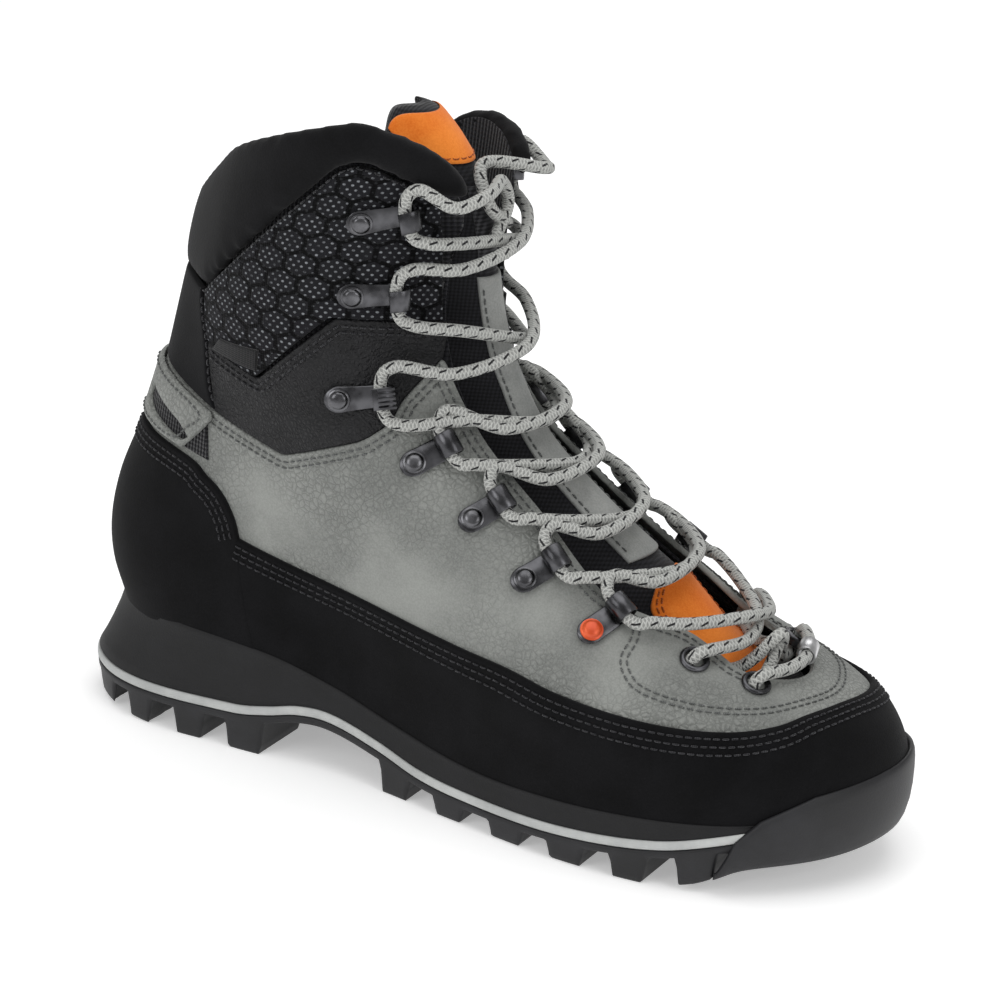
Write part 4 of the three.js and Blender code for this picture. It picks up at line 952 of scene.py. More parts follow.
def stuff(piece, voxel, cap, pressure=4.0):
    """Padded look by cloth: the shell is remeshed, blown up a little over a few frames, and no point may
    move further than the cap."""
    modifier = piece.modifiers.new("remesh", "REMESH")
    modifier.mode = "VOXEL"
    modifier.voxel_size = voxel
    apply_modifiers(piece)
    start = np.array([v.co for v in piece.data.vertices])
    cloth = piece.modifiers.new("cloth", "CLOTH")
    cloth.settings.use_pressure = True
    cloth.settings.uniform_pressure_force = pressure
    cloth.settings.effector_weights.gravity = 0
    cloth.settings.tension_stiffness = 25
    cloth.settings.compression_stiffness = 25
    cloth.point_cache.frame_start = 1
    cloth.point_cache.frame_end = 20
    for frame_number in range(1, 15):
        bpy.context.scene.frame_set(frame_number)
    apply_modifiers(piece)
    bpy.context.scene.frame_set(1)
    now = np.array([v.co for v in piece.data.vertices])
    move = now - start
    length = np.maximum(np.linalg.norm(move, axis=1, keepdims=True), 1e-9)
    now = start + move * np.minimum(1, cap / length)
    piece.data.vertices.foreach_set("co", now.reshape(-1))
    smoother = piece.modifiers.new("smooth", "SMOOTH")
    smoother.iterations = 3
    rounder = piece.modifiers.new("round", "SUBSURF")
    rounder.levels = rounder.render_levels = 1
    apply_modifiers(piece)
    smooth_faces(piece)


def apply_modifiers(piece):
    """The piece's evaluated mesh takes the place of its mesh."""
    graph = bpy.context.evaluated_depsgraph_get()
    mesh = bpy.data.meshes.new_from_object(piece.evaluated_get(graph))
    piece.modifiers.clear()
    piece.data = mesh


points, faces = collar_arrays()
collar = to_object("collar_padding", points, faces, "collar_suede")
recalc(collar)
stuff(collar, 0.0028, 0.0014)
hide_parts("collar")
print("collar:", len(collar.data.polygons), "faces")

# %% [markdown]
# The bootie lines the whole boot. Only its top and the throat show, as dark spacer mesh.

# %% Lining
LINING_FRONT = spaced(np.array([[0.64, 10.2], [0.66, 9.6], [0.62, 8.5], [0.6, 7.6], [0.62, 6.4],
                                [0.62, 5.7], [0.6, 5.2], [0.5, 4.5], [0.3, 3.9], [0.0, 3.7]]), 80)
lining_lateral = np.concatenate([spaced(TOPLINE, 120) - [0, 0.2], LINING_FRONT])
lining_medial = np.concatenate([spaced(lowered(TOPLINE), 120) - [0, 0.1], LINING_FRONT])
lining_high = np.concatenate([lining_lateral, (lining_medial * [-1, 1])[::-1][1:]])
lining_places = patch(over_toe(level(1.2, PI, 0, 200)), lining_high, 240, 30, rim=(0.003, 0.02))
plate("lining_skin", lining_places, -5.0, -3.9, "lining", 1.0, nodes=["bootie_lining"])
print("lining made")

# %% [markdown]
# The heel strap is a grey band over the ankle's back with a long slot. Ribbed webbing shows in the
# slot. The band is a ring grid: from the slot's edge out to the band's edge.

# %% Heel strap


def loop_places(curves, n):
    """Closed loop of places through several curves, evenly spaced."""
    walk = np.concatenate([np.asarray(c, float) for c in curves])
    walk = np.vstack([walk, walk[:1]])
    return spaced(walk, n + 1)[:-1]


def strap_arrays(sign):
    """One side of the strap: loops that grow from the slot to the outline, over a thickness that
    rounds off at both edges."""
    outline = loop_places([[[PI, 5.55]], [[2.7, 5.55], [2.4, 5.58]], [[2.2, 6.58]], [[2.2, 6.72]],
                           [[2.6, 6.86]], [[2.95, 6.93]], [[PI, 6.95]]], 160)
    slot = loop_places([[[2.87, 5.98], [2.78, 5.88]], [[2.5, 5.74], [2.40, 5.72]], [[2.36, 5.86]],
                        [[2.45, 6.06]], [[2.7, 6.24], [2.82, 6.3]], [[2.88, 6.2]]], 160)
    start = np.argmin(((slot[:, None] - outline[0]) ** 2).sum(-1).reshape(-1))
    slot = np.roll(slot, -start, 0)
    t = np.array([0, 0.02, 0.06, 0.12, 0.3, 0.5, 0.7, 0.88, 0.94, 0.98, 1.0])
    rise = np.array([0.5, 1.0, 1.5, 1.8, 1.95, 1.95, 1.95, 1.8, 1.5, 1.0, 0.5])
    t = np.concatenate([t, t[::-1]])
    rise = np.concatenate([rise, np.full(11, 0.1)]) + 0.9
    places = slot[:, None] + (outline - slot)[:, None] * t[None, :, None]
    places[..., 0] *= sign
    points = lifted(places, rise[None, :, None])
    return points.reshape(-1, 3), grid_quads(160, 22, wrap_i=True, wrap_j=True)


strap_sides = [strap_arrays(sign) for sign in (1, -1)]
points = np.concatenate([p for p, _ in strap_sides])
faces = np.concatenate([f + k * len(strap_sides[0][0]) for k, (_, f) in enumerate(strap_sides)])
strap = to_object("heel_strap_skin", points, faces, "nubuck")
recalc(strap)
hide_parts("heel_strap")
webbing_places = patch(both(spaced(np.array([[2.25, 5.6], [PI, 5.5]]), 40)),
                       both(spaced(np.array([[2.25, 6.5], [PI, 6.7]]), 40)), 80, 20, rim=(0.01, 0.04))
plate("heel_webbing_skin", webbing_places, 0.1, 0.95, "webbing", 0.4, nodes=["heel_webbing"])
print("strap made")

# %% [markdown]
# The sole unit: black foam midsole, a thin pale stripe, and the rubber outsole with its tread and
# toe bumper. Each follows the outline of the form's first ring, grown sideways by a margin.

# %% Sole lines
GROUND = np.array([[-10, 5], [5, 2], [20, 0.6], [40, 0], [232, 0], [250, 3], [265, 10], [292, 13.5],
                   [310, 19]], float)
STRIPE = np.array([[-10, 12.5], [30, 13], [66, 14], [80, 16.5], [90, 19], [102, 19.5], [125, 15],
                   [142, 11], [162, 9.5], [200, 10], [238, 14], [262, 20], [300, 30]], float)
FEATHER = np.array([[-8, 44], [20, 43], [75, 40], [105, 33], [130, 27], [165, 22], [200, 22.5], [225, 24],
                    [260, 26.5], [296, 30]], float)


def height_of(line, x):
    """Height of a sole line above the ground at x."""
    return smooth(line[:, 0], line[:, 1], x)


def ground_at(x):
    """Height of the tread's underside; it lies flat on the ground in the middle."""
    return np.maximum(height_of(GROUND, x), 0)


def outline(margin, n=420):
    """Plan loop (x, y) of the form's first ring, moved outwards by a margin that may depend on x."""
    angle = np.linspace(0, -2 * PI, n, endpoint=False)
    p = form(angle, 1.0)
    run = form(angle + 0.01, 1.0) - form(angle - 0.01, 1.0)
    out = unit(np.stack([-run[:, 1], run[:, 0], 0 * run[:, 0]], -1))
    grow = margin(p[:, 0]) if callable(margin) else margin
    return (p + out * np.reshape(grow, (-1, 1)))[:, :2]


def flare(x):
    """Sole wall beyond the leather: 2.5 mm, and up to 8.5 mm more round the heel."""
    share = np.clip(1 - x / 60, 0, 1)
    return 2.5 + 8.5 * share * share * (3 - 2 * share)


SPINE = (32.0, 262.0)  # the outline's spine, so that it shrinks to a line


def shrunk(loop, k):
    """The plan loop drawn in towards the spine, to a share k of its size."""
    spine_x = np.clip(loop[:, 0], *SPINE)
    centre = 2.5 * np.clip((spine_x - 150) / 110, 0, 1)
    spine = np.stack([spine_x, centre], -1)
    return spine + (loop - spine) * k


def sole_layer(name, rows, finish, node, n=420):
    """Closed layer: plan loops (margin, height) from below upwards, closed along the spine at both ends."""
    loops = []
    for margin, height in rows:
        loop = outline(margin, n)
        loops.append(np.column_stack([loop, height(loop[:, 0])]))
    for k, end in ((0.6, 0), (0.0, 0), (0.6, -1), (0.0, -1)):
        loop = outline(rows[end][0], n)
        inner = shrunk(loop, k)
        row = np.column_stack([inner, rows[end][1](inner[:, 0])])
        loops = [row] + loops if end == 0 else loops + [row]
    m = len(loops)
    points = np.stack(loops, 1)
    faces = grid_quads(n, m, wrap_i=True)
    piece = to_object(name, points.reshape(-1, 3), faces, finish)
    weld(piece)
    recalc(piece)
    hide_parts(*node)
    return piece


STRIPE_THICKNESS, FEATHER_GAP, PLATE = 3.3, 0.2, 3.0


def stripe_low(x):
    """Lower edge of the pale stripe."""
    return height_of(STRIPE, x)


def stripe_high(x):
    """Upper edge of the pale stripe."""
    return height_of(STRIPE, x) + STRIPE_THICKNESS


def feather(x):
    """Top of the midsole, just under the leather."""
    return height_of(FEATHER, x) - FEATHER_GAP


def plate_low(x):
    """Underside of the outsole's plate."""
    return stripe_low(x) - PLATE


def mid(share, lift=0.0):
    """A height between the stripe and the feather line."""
    return lambda x: stripe_high(x) + (feather(x) - stripe_high(x)) * share + lift


def wall(share, extra=0.0):
    """Margin of the midsole wall: it draws in from the stripe to a waist, and swells at the top edge."""
    return lambda x: flare(x) + (2.2 - flare(x)) * share ** 0.7 + extra


# From the stripe up: share of the draw-in, extra margin, share of the height.
MIDSOLE_SECTION = [(0.0, -0.6, 0.0), (0.0, 0.0, 0.03), (0.1, 0.0, 0.15), (0.35, 0.0, 0.35),
                   (0.7, 0.0, 0.6), (0.95, -0.2, 0.82), (1.0, 0.2, 0.92), (1.0, 0.1, 0.985),
                   (1.0, -0.6, 1.0)]
midsole_rows = [(wall(share, extra), mid(height)) for share, extra, height in MIDSOLE_SECTION]
midsole_rows.append((-3.0, mid(1.0, 0.2)))
sole_layer("midsole_foam_body", midsole_rows, "foam", ["midsole"])
# Margin beyond the wall, and rise.
STRIPE_SECTION = [(-1, 0), (0.1, 0.1), (0.55, 0.7), (0.6, 1.7), (0.5, 2.8), (0.1, 3.3), (-1, 3.35)]


def beyond_wall(margin):
    """Margin outside the sole wall."""
    return lambda x: flare(x) + margin


def above_stripe(rise):
    """A height over the stripe's lower edge."""
    return lambda x: stripe_low(x) + rise


stripe_rows = [(beyond_wall(margin), above_stripe(rise)) for margin, rise in STRIPE_SECTION]
sole_layer("midsole_stripe_band", stripe_rows, "stripe", ["midsole_stripe"])
print("midsole and stripe made")

# %% [markdown]
# The tread is a height field. Where a lug stands, the bottom reaches the ground, and in the
# channels it rises to the plate. The mask of a lug is a product of smooth steps along the boot and
# across it, so that its edges are drafted as a mould needs.

# %% Outsole with lugs
HEEL_BARS = [(2, 12), (21, 31), (42, 53), (63, 77)]
FORE_BARS = [(126, 138), (150, 162), (174, 187), (198, 211), (222, 234), (245, 257)]
CENTRE_LUGS = [(12, 34), (48, 68), (136, 156), (166, 188), (198, 220), (230, 248)]


def step(x, edge, width):
    """Smooth rise from 0 to 1 centred on an edge."""
    s = np.clip((x - edge) / width + 0.5, 0, 1)
    return s * s * (3 - 2 * s)


def bars(x, edges, width=1.8):
    """1 inside any of the stretches, 0 between them."""
    return np.max([step(x, a, width) * (1 - step(x, b, width)) for a, b in edges], axis=0)


def tread_mask(x, y):
    """Where rubber reaches the ground: side bars beyond the central channel, the row of centre lugs,
    and the solid toe."""
    side = bars(x, HEEL_BARS + FORE_BARS) * step(np.abs(y - 1), 9.5, 1.8)
    centre = bars(x, CENTRE_LUGS) * (1 - step(np.abs(y - 1), 6.0, 1.8))
    return np.maximum(np.maximum(side, centre), step(x, 262, 2.0))


def make_outsole():
    """One closed grid: from the plate's top edge down the wall, under the edge, and in over the tread
    to the spine."""
    n = 900
    loop = outline(lambda x: flare(x) + 0.2, n)
    x = loop[:, 0]
    rows = []

    def add(points, z):
        rows.append(np.column_stack([points, z]))

    add(shrunk(loop, 0.0), stripe_low(shrunk(loop, 0.0)[:, 0]) - 0.2)
    add(shrunk(loop, 0.6), stripe_low(shrunk(loop, 0.6)[:, 0]) - 0.2)
    add(shrunk(loop, 0.985), stripe_low(x) - 0.2)
    add(loop, stripe_low(x) - 0.5)
    add(loop, stripe_low(x) - 1.6)
    edge = shrunk(loop, 0.996)
    add(edge, plate_low(x) + 0.4)
    mask = tread_mask(x, loop[:, 1] * 0 + 30)
    bottom = plate_low(x) + (ground_at(x) - plate_low(x)) * mask
    for share, k in ((0.35, 0.99), (0.7, 0.978), (0.93, 0.968), (1.0, 0.955)):
        add(shrunk(loop, k), plate_low(x) + (bottom - plate_low(x)) * share)
    for k in np.linspace(0.94, 0.0, 44):
        p = shrunk(loop, k)
        m = tread_mask(p[:, 0], p[:, 1])
        low = plate_low(p[:, 0])
        add(p, low + (ground_at(p[:, 0]) - low) * m)
    points = np.stack(rows, 1)
    piece = to_object("outsole_tread", points.reshape(-1, 3), grid_quads(n, points.shape[1], wrap_i=True),
                      "rubber")
    weld(piece)
    recalc(piece)
    return piece


tread = make_outsole()
print("outsole:", len(tread.data.polygons), "faces")

# %% Toe bumper
BUMPER_TOP = np.array([[257, 9], [259.5, 15], [261.5, 21], [268, 29], [281, 37], [294, 40.5],
                       [312, 41.5]], float)


def make_bumper():
    """Satin rubber over the toe: a wall that starts on a slant behind the toe, with a rounded top edge;
    loops run from under the edge, up the wall, over the rim and down inside."""
    angle = np.linspace(1.05, -1.05, 360)
    p = form(angle, 1.0)
    run = form(angle + 0.01, 1.0) - form(angle - 0.01, 1.0)
    out = unit(np.stack([-run[:, 1], run[:, 0], 0 * run[:, 0]], -1))
    x = p[:, 0]
    keep = x + 4.7 * out[:, 0] > 257.5
    p, out, x = p[keep], out[keep], x[keep]
    top = np.interp(x, BUMPER_TOP[:, 0], BUMPER_TOP[:, 1])
    low = ground_at(x) + 0.2
    rise = [0.0, 0.0, 0.03, 0.12, 0.3, 0.5, 0.7, 0.85, 0.93, 0.98, 1.0, 1.0, 0.97, 0.6, 0.2]
    grow = [0.0, 1.6, 2.6, 3.6, 4.6, 5.0, 5.0, 4.8, 4.5, 4.0, 3.4, 2.8, 2.2, 1.8, 0.0]
    taper = np.clip(np.minimum(np.arange(len(x)), np.arange(len(x))[::-1]) / 5, 0, 1) ** 0.5
    rows = []
    for r, g in zip(rise, grow):
        q = p + out * (2.2 + (g - 2.2) * taper)[:, None] if g > 2.2 else p + out * g
        rows.append(np.column_stack([q[:, :2], low + (top - low) * r]))
    points = np.stack(rows, 1)
    n, m = points.shape[:2]
    faces = capped(n, m)
    piece = to_object("toe_bumper", points.reshape(-1, 3), faces, "rubber")
    recalc(piece)
    return piece


bumper = make_bumper()
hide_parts("outsole")
print("bumper made")

# %% [markdown]
# The tongue is a padded strip sunk in the throat, with its crown under the laces and its top leaning
# back into the shaft. A pale suede strip runs up it, its top edge is orange, and an orange patch
# covers its lower end.

# %% Tongue
TONGUE_SINK, CROWN_DEPTH, FRONT_DROP = 7.4, 1.4, 2.4
THROAT_RINGS = [4, 4.4, 5.2, 5.7, 7, 8.5, 10, 12]
THROAT_HALF = [0.15, 0.29, 0.34, 0.58, 0.57, 0.68, 0.7, 0.62]
LEAN_RINGS = [8.6, 9.3, 9.9, 10.2, 10.5, 10.8, 11.05]
LEAN = [0, 3, 7, 10.5, 17, 29, 43]


def crown(angle, v):
    """Height of the tongue over the form: sunk at its edges, and a raised cosine between them."""
    share = np.minimum(np.abs(angle) / smooth(THROAT_RINGS, THROAT_HALF, v), 1)
    rise = smooth([4.9, 5.9], [0, TONGUE_SINK - CROWN_DEPTH], v)
    return rise * np.cos(share * PI / 2) ** 2 - TONGUE_SINK - smooth([4.9, 5.9], [FRONT_DROP, 0], v)


def lean_back(points, v, weight):
    """Points moved back into the shaft, and a little up, as the tongue's top is."""
    back = smooth(LEAN_RINGS, LEAN, v) * weight
    return points + np.stack([-back, 0 * back, 0.18 * back], -1)


def tongue_sheet(name, rings, half, low, high, finish, nodes, n=60, columns=40, radius=0.8, droop=0.0):
    """Closed slab over a patch of the tongue, between two heights over its crown, with rounded rims.
    Its top edge droops to the sides, by rings."""
    t, s = rim_steps(n, 0.012), rim_steps(columns, 0.02)
    arch = droop * np.abs(2 * s[:, None] - 1) ** 5
    v = rings[0] + (rings[1] - arch - rings[0]) * t[None, :]
    left, right = half(v)
    angle = left + (right - left) * s[:, None]
    v = np.broadcast_to(v, angle.shape)
    base = lambda h: lean_back(above(angle, v, crown(angle, v) + h), v, 1.0)
    q = np.clip(rim_distance(base(0)) / radius, 0, 1)
    outer = base(low + (high - low) * (0.4 + 0.6 * np.sqrt(1 - (1 - q) ** 2)))
    inner = base(low)
    a, b = outer.shape[:2]
    top = grid_quads(a, b)
    border = border_of(a, b)
    nxt = np.roll(border, -1)
    faces = np.concatenate([top, top[:, ::-1] + a * b,
                            np.stack([border, border + a * b, nxt + a * b, nxt], -1)])
    piece = to_object(name, np.concatenate([outer.reshape(-1, 3), inner.reshape(-1, 3)]), faces, finish,
                      body="tongue")
    recalc(piece)
    if nodes:
        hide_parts(*nodes)
    return piece


def symmetric(rings, halves):
    """Half angle of a symmetric strip at some rings."""
    return lambda v: (-smooth(rings, halves, v), smooth(rings, halves, v))


tongue_half = symmetric([4, 5, 6, 9.8, 10.6, 11.05], [0.62, 0.85, 0.98, 0.98, 0.82, 0.68])
tongue_sheet("tongue_body", (4.05, 11.0), tongue_half, -6.0, 0.0, "black_textile", ["tongue"], 90, 80, 3.0,
             droop=0.3)
tongue_sheet("tongue_suede_strip", (6.3, 9.75), lambda v: (-0.27 + 0 * v, 0.24 + 0 * v), 0.1, 1.3,
             "tongue_strip", ["tongue_strip"], 60, 20, 1.0)
tongue_sheet("tongue_orange_top", (10.66, 10.99), symmetric([10, 11], [0.66, 0.62]), 0.1, 1.3,
             "orange_suede", ["tongue_top"], 16, 60, 1.0, droop=0.1)
PATCH_RINGS, PATCH_HALF = [4.7, 5.2, 5.7, 6.0, 6.1], [0.34, 0.36, 0.37, 0.2, 0.1]
tongue_sheet("orange_instep_patch", (4.72, 6.08), symmetric(PATCH_RINGS, PATCH_HALF), 0.2, 1.4,
             "orange_suede", ["instep_patch"], 40, 30, 1.0)
tongue_sheet("tongue_label", (9.85, 10.5), symmetric([9, 11], [0.2, 0.2]), 0.1, 0.8, "label", [], 20, 16,
             0.6)
print("tongue made")

# %% [markdown]
# Lace rings and hooks are bent from sheet metal: a strap under a rivet, rolled round the lace. Each
# has a frame on the form: out points from the lace to the rivet, n away from the leather.

# %% Lacing sites
RINGS = [((0.62, 5.55), (0.84, 5.12)), ((0.72, 6.2), (0.95, 5.78)), ((0.77, 7.0), (0.99, 6.62)),
         ((0.86, 7.78), (1.1, 7.38))]
HOOKS = [((1.08, 8.42), (1.33, 8.22)), ((0.97, 9.7), (1.22, 9.66)), ((1.0, 10.53), (1.25, 10.45))]
EYELETS = [(0.36, 4.26), (0.5, 4.82)]
RISE = {"ring": (0.18, 0.18, 0.18, 0.0), "hook": (0.06, 0.0, 0.0), "eyelet": (0.18, 0.18)}
FIT, RING_WALL, LACE_D, LACE_GAP = 0.3, 1.0, 4.4, 0.65
LOOP_R = LACE_D / 2 + LACE_GAP
RING_LENGTH, HOOK_LENGTH = 8.5, 7.5


def site_label(side, i):
    """The end of a node's name, such as lateral_1."""
    return f"{'lateral' if side < 0 else 'medial'}_{i + 1}"


def placed(site, side, rise):
    """A site (angle, v) on its side; side is -1 for lateral, 1 for medial."""
    return np.array(site) if side < 0 else np.array([-site[0], site[1] + rise])


def site_frame(kind, i, side):
    """Origin, seat, axes and heights of a ring or hook."""
    loop, rivet = (HOOKS if kind == "hook" else RINGS)[i]
    a, b = placed(loop, side, RISE[kind][i]), placed(rivet, side, RISE[kind][i])
    origin, seat = form(*a), form(*b)
    n = form_normal(*((a + b) / 2))
    out = seat - origin
    out = unit(out - n * (out @ n))
    up = unit(np.cross(n, out))
    if up[2] < 0:
        up = -up
    shares = np.array([-0.25, 0, 0.25, 0.5, 0.75, 1, 1.3])[:, None]
    slips = np.array([-0.18, 0, 0.18])[None, :]
    tests = form(a[0] + (b[0] - a[0]) * shares, a[1] + (b[1] - a[1]) * shares + slips)
    lift = max(0.0, float(((tests - origin) @ n).max())) + 2 * FIT
    return {"kind": kind, "i": i, "side": side, "origin": origin, "n": n, "out": out, "up": up,
            "reach": float((seat - origin) @ out),
            "lift": lift, "place": a, "height": lift + RING_WALL + LOOP_R,
            "label": site_label(side, i)}


def eyelet_frame(i, side):
    """Origin, axes and lift of an eyelet."""
    a = placed(EYELETS[i], side, RISE["eyelet"][i])
    origin, n = form(*a), form_normal(*a)
    x = unit(form(a[0] + 0.05, a[1]) - origin)
    e = 0.05
    per_angle = np.linalg.norm(form(a[0] + e, a[1]) - origin) / e
    per_ring = np.linalg.norm(form(a[0], a[1] + e) - origin) / e
    turn = np.arange(8) * PI / 4
    ring = form(a[0] + 5 / per_angle * np.cos(turn), a[1] + 5 / per_ring * np.sin(turn))
    lift = max(0.0, float(((ring - origin) @ n).max())) + 2 * FIT
    return {"origin": origin, "n": n, "x": x, "z": unit(np.cross(x, n)), "lift": lift, "place": a,
            "side": side, "i": i,
            "label": site_label(side, i)}


SITES = {(kind, i, side): site_frame(kind, i, side)
         for side in (-1, 1)
         for kind, count in (("ring", 4), ("hook", 3))
         for i in range(count)}
EYES = {(i, side): eyelet_frame(i, side) for side in (-1, 1) for i in range(2)}
print(len(SITES), "rings and hooks,", len(EYES), "eyelets")

# %% Sheet metal


def ribbon(path, width, thick):
    """Closed strip: a flat bar carried along a path in the (out, n) plane. Section: a rectangle with
    rounded long edges; width may change along the path. Returns points (out, n, along) and faces."""
    path = np.asarray(path, float)
    run = unit(np.gradient(path, axis=0))
    side = np.stack([-run[:, 1], run[:, 0]], -1)
    width = np.broadcast_to(width, len(path))
    loop = [(-1, -0.4, 0), (-1, 0.4, 0), (-1, 1, 0.4), (1, 1, 0.4), (1, 0.4, 0), (1, -0.4, 0), (1, -1, 0.4),
            (-1, -1, 0.4)]
    points = []
    for w, h, inset in loop:
        across = w * (width / 2 - inset)
        p = path + side * (h * thick / 2)
        points.append(np.column_stack([p, across]))
    points = np.stack(points, 1)
    n, m = points.shape[:2]
    faces = capped(n, m)
    return points.reshape(-1, 3), faces


def turned(profile, sides=28):
    """Solid of revolution about the n axis from a profile (radius, height)."""
    profile = np.asarray(profile, float)
    turn = np.linspace(0, 2 * PI, sides, endpoint=False)
    points = np.stack([profile[None, :, 0] * np.cos(turn)[:, None],
                       np.broadcast_to(profile[None, :, 1], (sides, len(profile))),
                       profile[None, :, 0] * np.sin(turn)[:, None]], -1)
    return points.reshape(-1, 3), [list(map(int, f)) for f in grid_quads(sides, len(profile), wrap_i=True)]


def on_frame(points, origin, x, y, z):
    """Points drawn in (out, n, along) carried onto a frame."""
    return origin + points[:, :1] * x + points[:, 1:2] * y + points[:, 2:] * z


def metal_piece(name, parts, finish, nodes):
    """Several point and face lists as one object."""
    points, faces, start = [], [], 0
    for p, f in parts:
        points.append(p)
        faces += [[k + start for k in face] for face in f]
        start += len(p)
    piece = to_object(name, np.concatenate(points), faces, finish)
    weld(piece, 0.000005)
    recalc(piece)
    edge = piece.modifiers.new("sharp", "EDGE_SPLIT")
    edge.split_angle = math.radians(50)
    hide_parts(*nodes)
    return piece


def arc(cx, cy, r, a, b, n=26):
    """Points on a circle from angle a to b, in degrees."""
    t = np.radians(np.linspace(a, b, n))
    return np.column_stack([cx + r * np.cos(t), cy + r * np.sin(t)])


def strap_width(path, reach, narrow, wide):
    """Width along a strap: narrow at the loop, and a rounded wide pad under the rivet."""
    x = path[:, 0]
    pad = np.sqrt(np.clip(1 - ((x - reach) / 5.2) ** 2, 0, 1)) * wide
    body = np.where(x < reach, narrow + (wide - narrow) * np.clip(x / reach, 0, 1) ** 2, 0)
    return np.maximum(np.maximum(pad, body), 1.2)


def make_ring(f):
    """Strap from beyond the rivet to the throat, rolled into a tube round the lace."""
    middle, r = f["height"], LOOP_R + RING_WALL / 2
    y = f["lift"] + RING_WALL / 2
    strap = np.column_stack([np.linspace(f["reach"] + 5.1, 0.5, 30), np.full(30, y)])
    path = np.concatenate([strap, arc(0, middle, r, 268, -10, 48)])
    return ribbon(path, strap_width(path, f["reach"], RING_LENGTH, 9.0), RING_WALL)


def make_hook(f):
    """Strap from beyond the rivet, turned up on the throat side and back over the lace."""
    middle, r = f["height"], LOOP_R + RING_WALL / 2
    y = f["lift"] + RING_WALL / 2
    strap = np.column_stack([np.linspace(f["reach"] + 5.1, 0.5, 30), np.full(30, y)])
    tail = np.column_stack([np.linspace(0.4, 3.4, 6), middle + r + np.linspace(0.02, 0.7, 6)])
    path = np.concatenate([strap, arc(0, middle, r, 268, 92, 34), tail])
    return ribbon(path, strap_width(path, f["reach"], HOOK_LENGTH, 9.0), RING_WALL)


def make_rivet(f):
    """Domed cap with a flat shoulder, over the strap."""
    top = f["lift"] + RING_WALL + 0.1
    return turned([(0, top), (3.85, top), (4.0, top + 0.25), (3.9, top + 0.55), (3.3, top + 0.7),
                   (3.1, top + 0.9), (2.9, top + 1.5),
                   (2.2, top + 1.95), (1.1, top + 2.15), (0, top + 2.2)])


def carried(shape, f, at):
    """A shape's points and faces carried onto a site's frame."""
    along = unit(np.cross(f["out"], f["n"]))
    return on_frame(shape[0], at, f["out"], f["n"], along), shape[1]


for f in SITES.values():
    body = make_ring(f) if f["kind"] == "ring" else make_hook(f)
    foot = f["origin"] + f["out"] * f["reach"]
    metal_piece(f"{f['kind']}_metal_{f['label']}", [carried(body, f, f["origin"])], "gunmetal",
                [f"{f['kind']}_{f['label']}"])
    finish = "enamel" if f["kind"] == "ring" and f["i"] == 0 else "rivet_metal"
    metal_piece(f"{f['kind']}_cap_{f['label']}", [carried(make_rivet(f), f, foot)], finish,
                [f"{f['kind']}_rivet_{f['label']}"])
for e in EYES.values():
    r = 3.3
    profile = [(r, e["lift"] - 3.0), (r, e["lift"] + 0.2), (r + 0.3, e["lift"] + 0.75),
               (r + 0.9, e["lift"] + 1.0), (r + 1.6, e["lift"] + 0.8), (r + 2.0, e["lift"] + 0.2),
               (r + 2.0, e["lift"] - 0.1), (r + 0.7, e["lift"] - 0.1), (r + 0.7, e["lift"] - 3.0),
               (r, e["lift"] - 3.0)]
    points, faces = turned(profile)
    metal_piece(f"eyelet_metal_{e['label']}",
                [(on_frame(points, e["origin"], e["x"], e["n"], e["z"]),
                  faces)], "gunmetal", [f"eyelet_{e['label']}"])
print("hardware made")

# %% [markdown]
# The lace is one cord along its real route. The route's points come from the lacing sites: through
# each ring and hook, over the tongue between them, down and up through the eyelets, and into a half
# knot at the top. A centripetal Catmull-Rom spline joins them, and a tube is carried along it.

# %% Lace route
STRAND_LOW = 4.4
STRAND_HIGH = STRAND_LOW + LACE_D + 0.5
UNDER = -2.0 - FIT - LACE_D / 2 - 0.1
MOUTH_ANGLE = {-1: (0.22, 0.24), 1: (-0.13, -0.17)}
MOUTH_SHIFT = (0.25, 0.0)
route = []


def strand(start, end, level):
    """Three points of a strand over the tongue, between two [angle, v, height], by way of a middle height."""
    start, end = np.asarray(start, float), np.asarray(end, float)
    s = np.array([0.2, 0.5, 0.8])
    k = np.abs(1 - 2 * s)
    edge = np.where(s < 0.5, start[2], end[2])
    height = level + (edge - level) * np.sin(k * PI / 2) ** 2
    angle, v = start[0] + (end[0] - start[0]) * s, start[1] + (end[1] - start[1]) * s
    return list(lean_back(above(angle, v, height), v, (1 - k * k) ** 2.5))


def gate(name):
    """The ring or hook that a name such as L3 or M6 stands for."""
    side, number = (-1 if name[0] == "L" else 1), int(name[1])
    return SITES[("ring", number - 1, side)] if number < 5 else SITES[("hook", number - 5, side)]


def pass_through(name, upwards):
    """Four points straight through a ring or hook, with a turn in over the throat at each end."""
    f = gate(name)
    middle = f["origin"] + f["n"] * f["height"]
    half = (RING_LENGTH if f["kind"] == "ring" else HOOK_LENGTH) / 2
    run = [(-half - 6.2, 4.6), (-half - 3.2, 0), (half + 3.2, 0), (half + 6.2, 4.6)]
    points = [middle + f["up"] * r - f["out"] * inward for r, inward in run]
    return points if upwards else points[::-1]


def end_of(name, rise):
    """A ring or hook as [angle, v, height], moved up (1) or down (-1) the throat to its mouth."""
    f = gate(name)
    return [f["place"][0], f["place"][1] + rise * 0.22, f["height"]]


def over_eye(e):
    """A place over an eyelet, on its throat side."""
    return [e["place"][0] * 0.78, e["place"][1], e["lift"] + 4]


def under_eye(e):
    """A place under the leather, where the lace comes out of an eyelet."""
    return [MOUTH_ANGLE[e["side"]][e["i"]], e["place"][1] + MOUTH_SHIFT[e["i"]], UNDER]


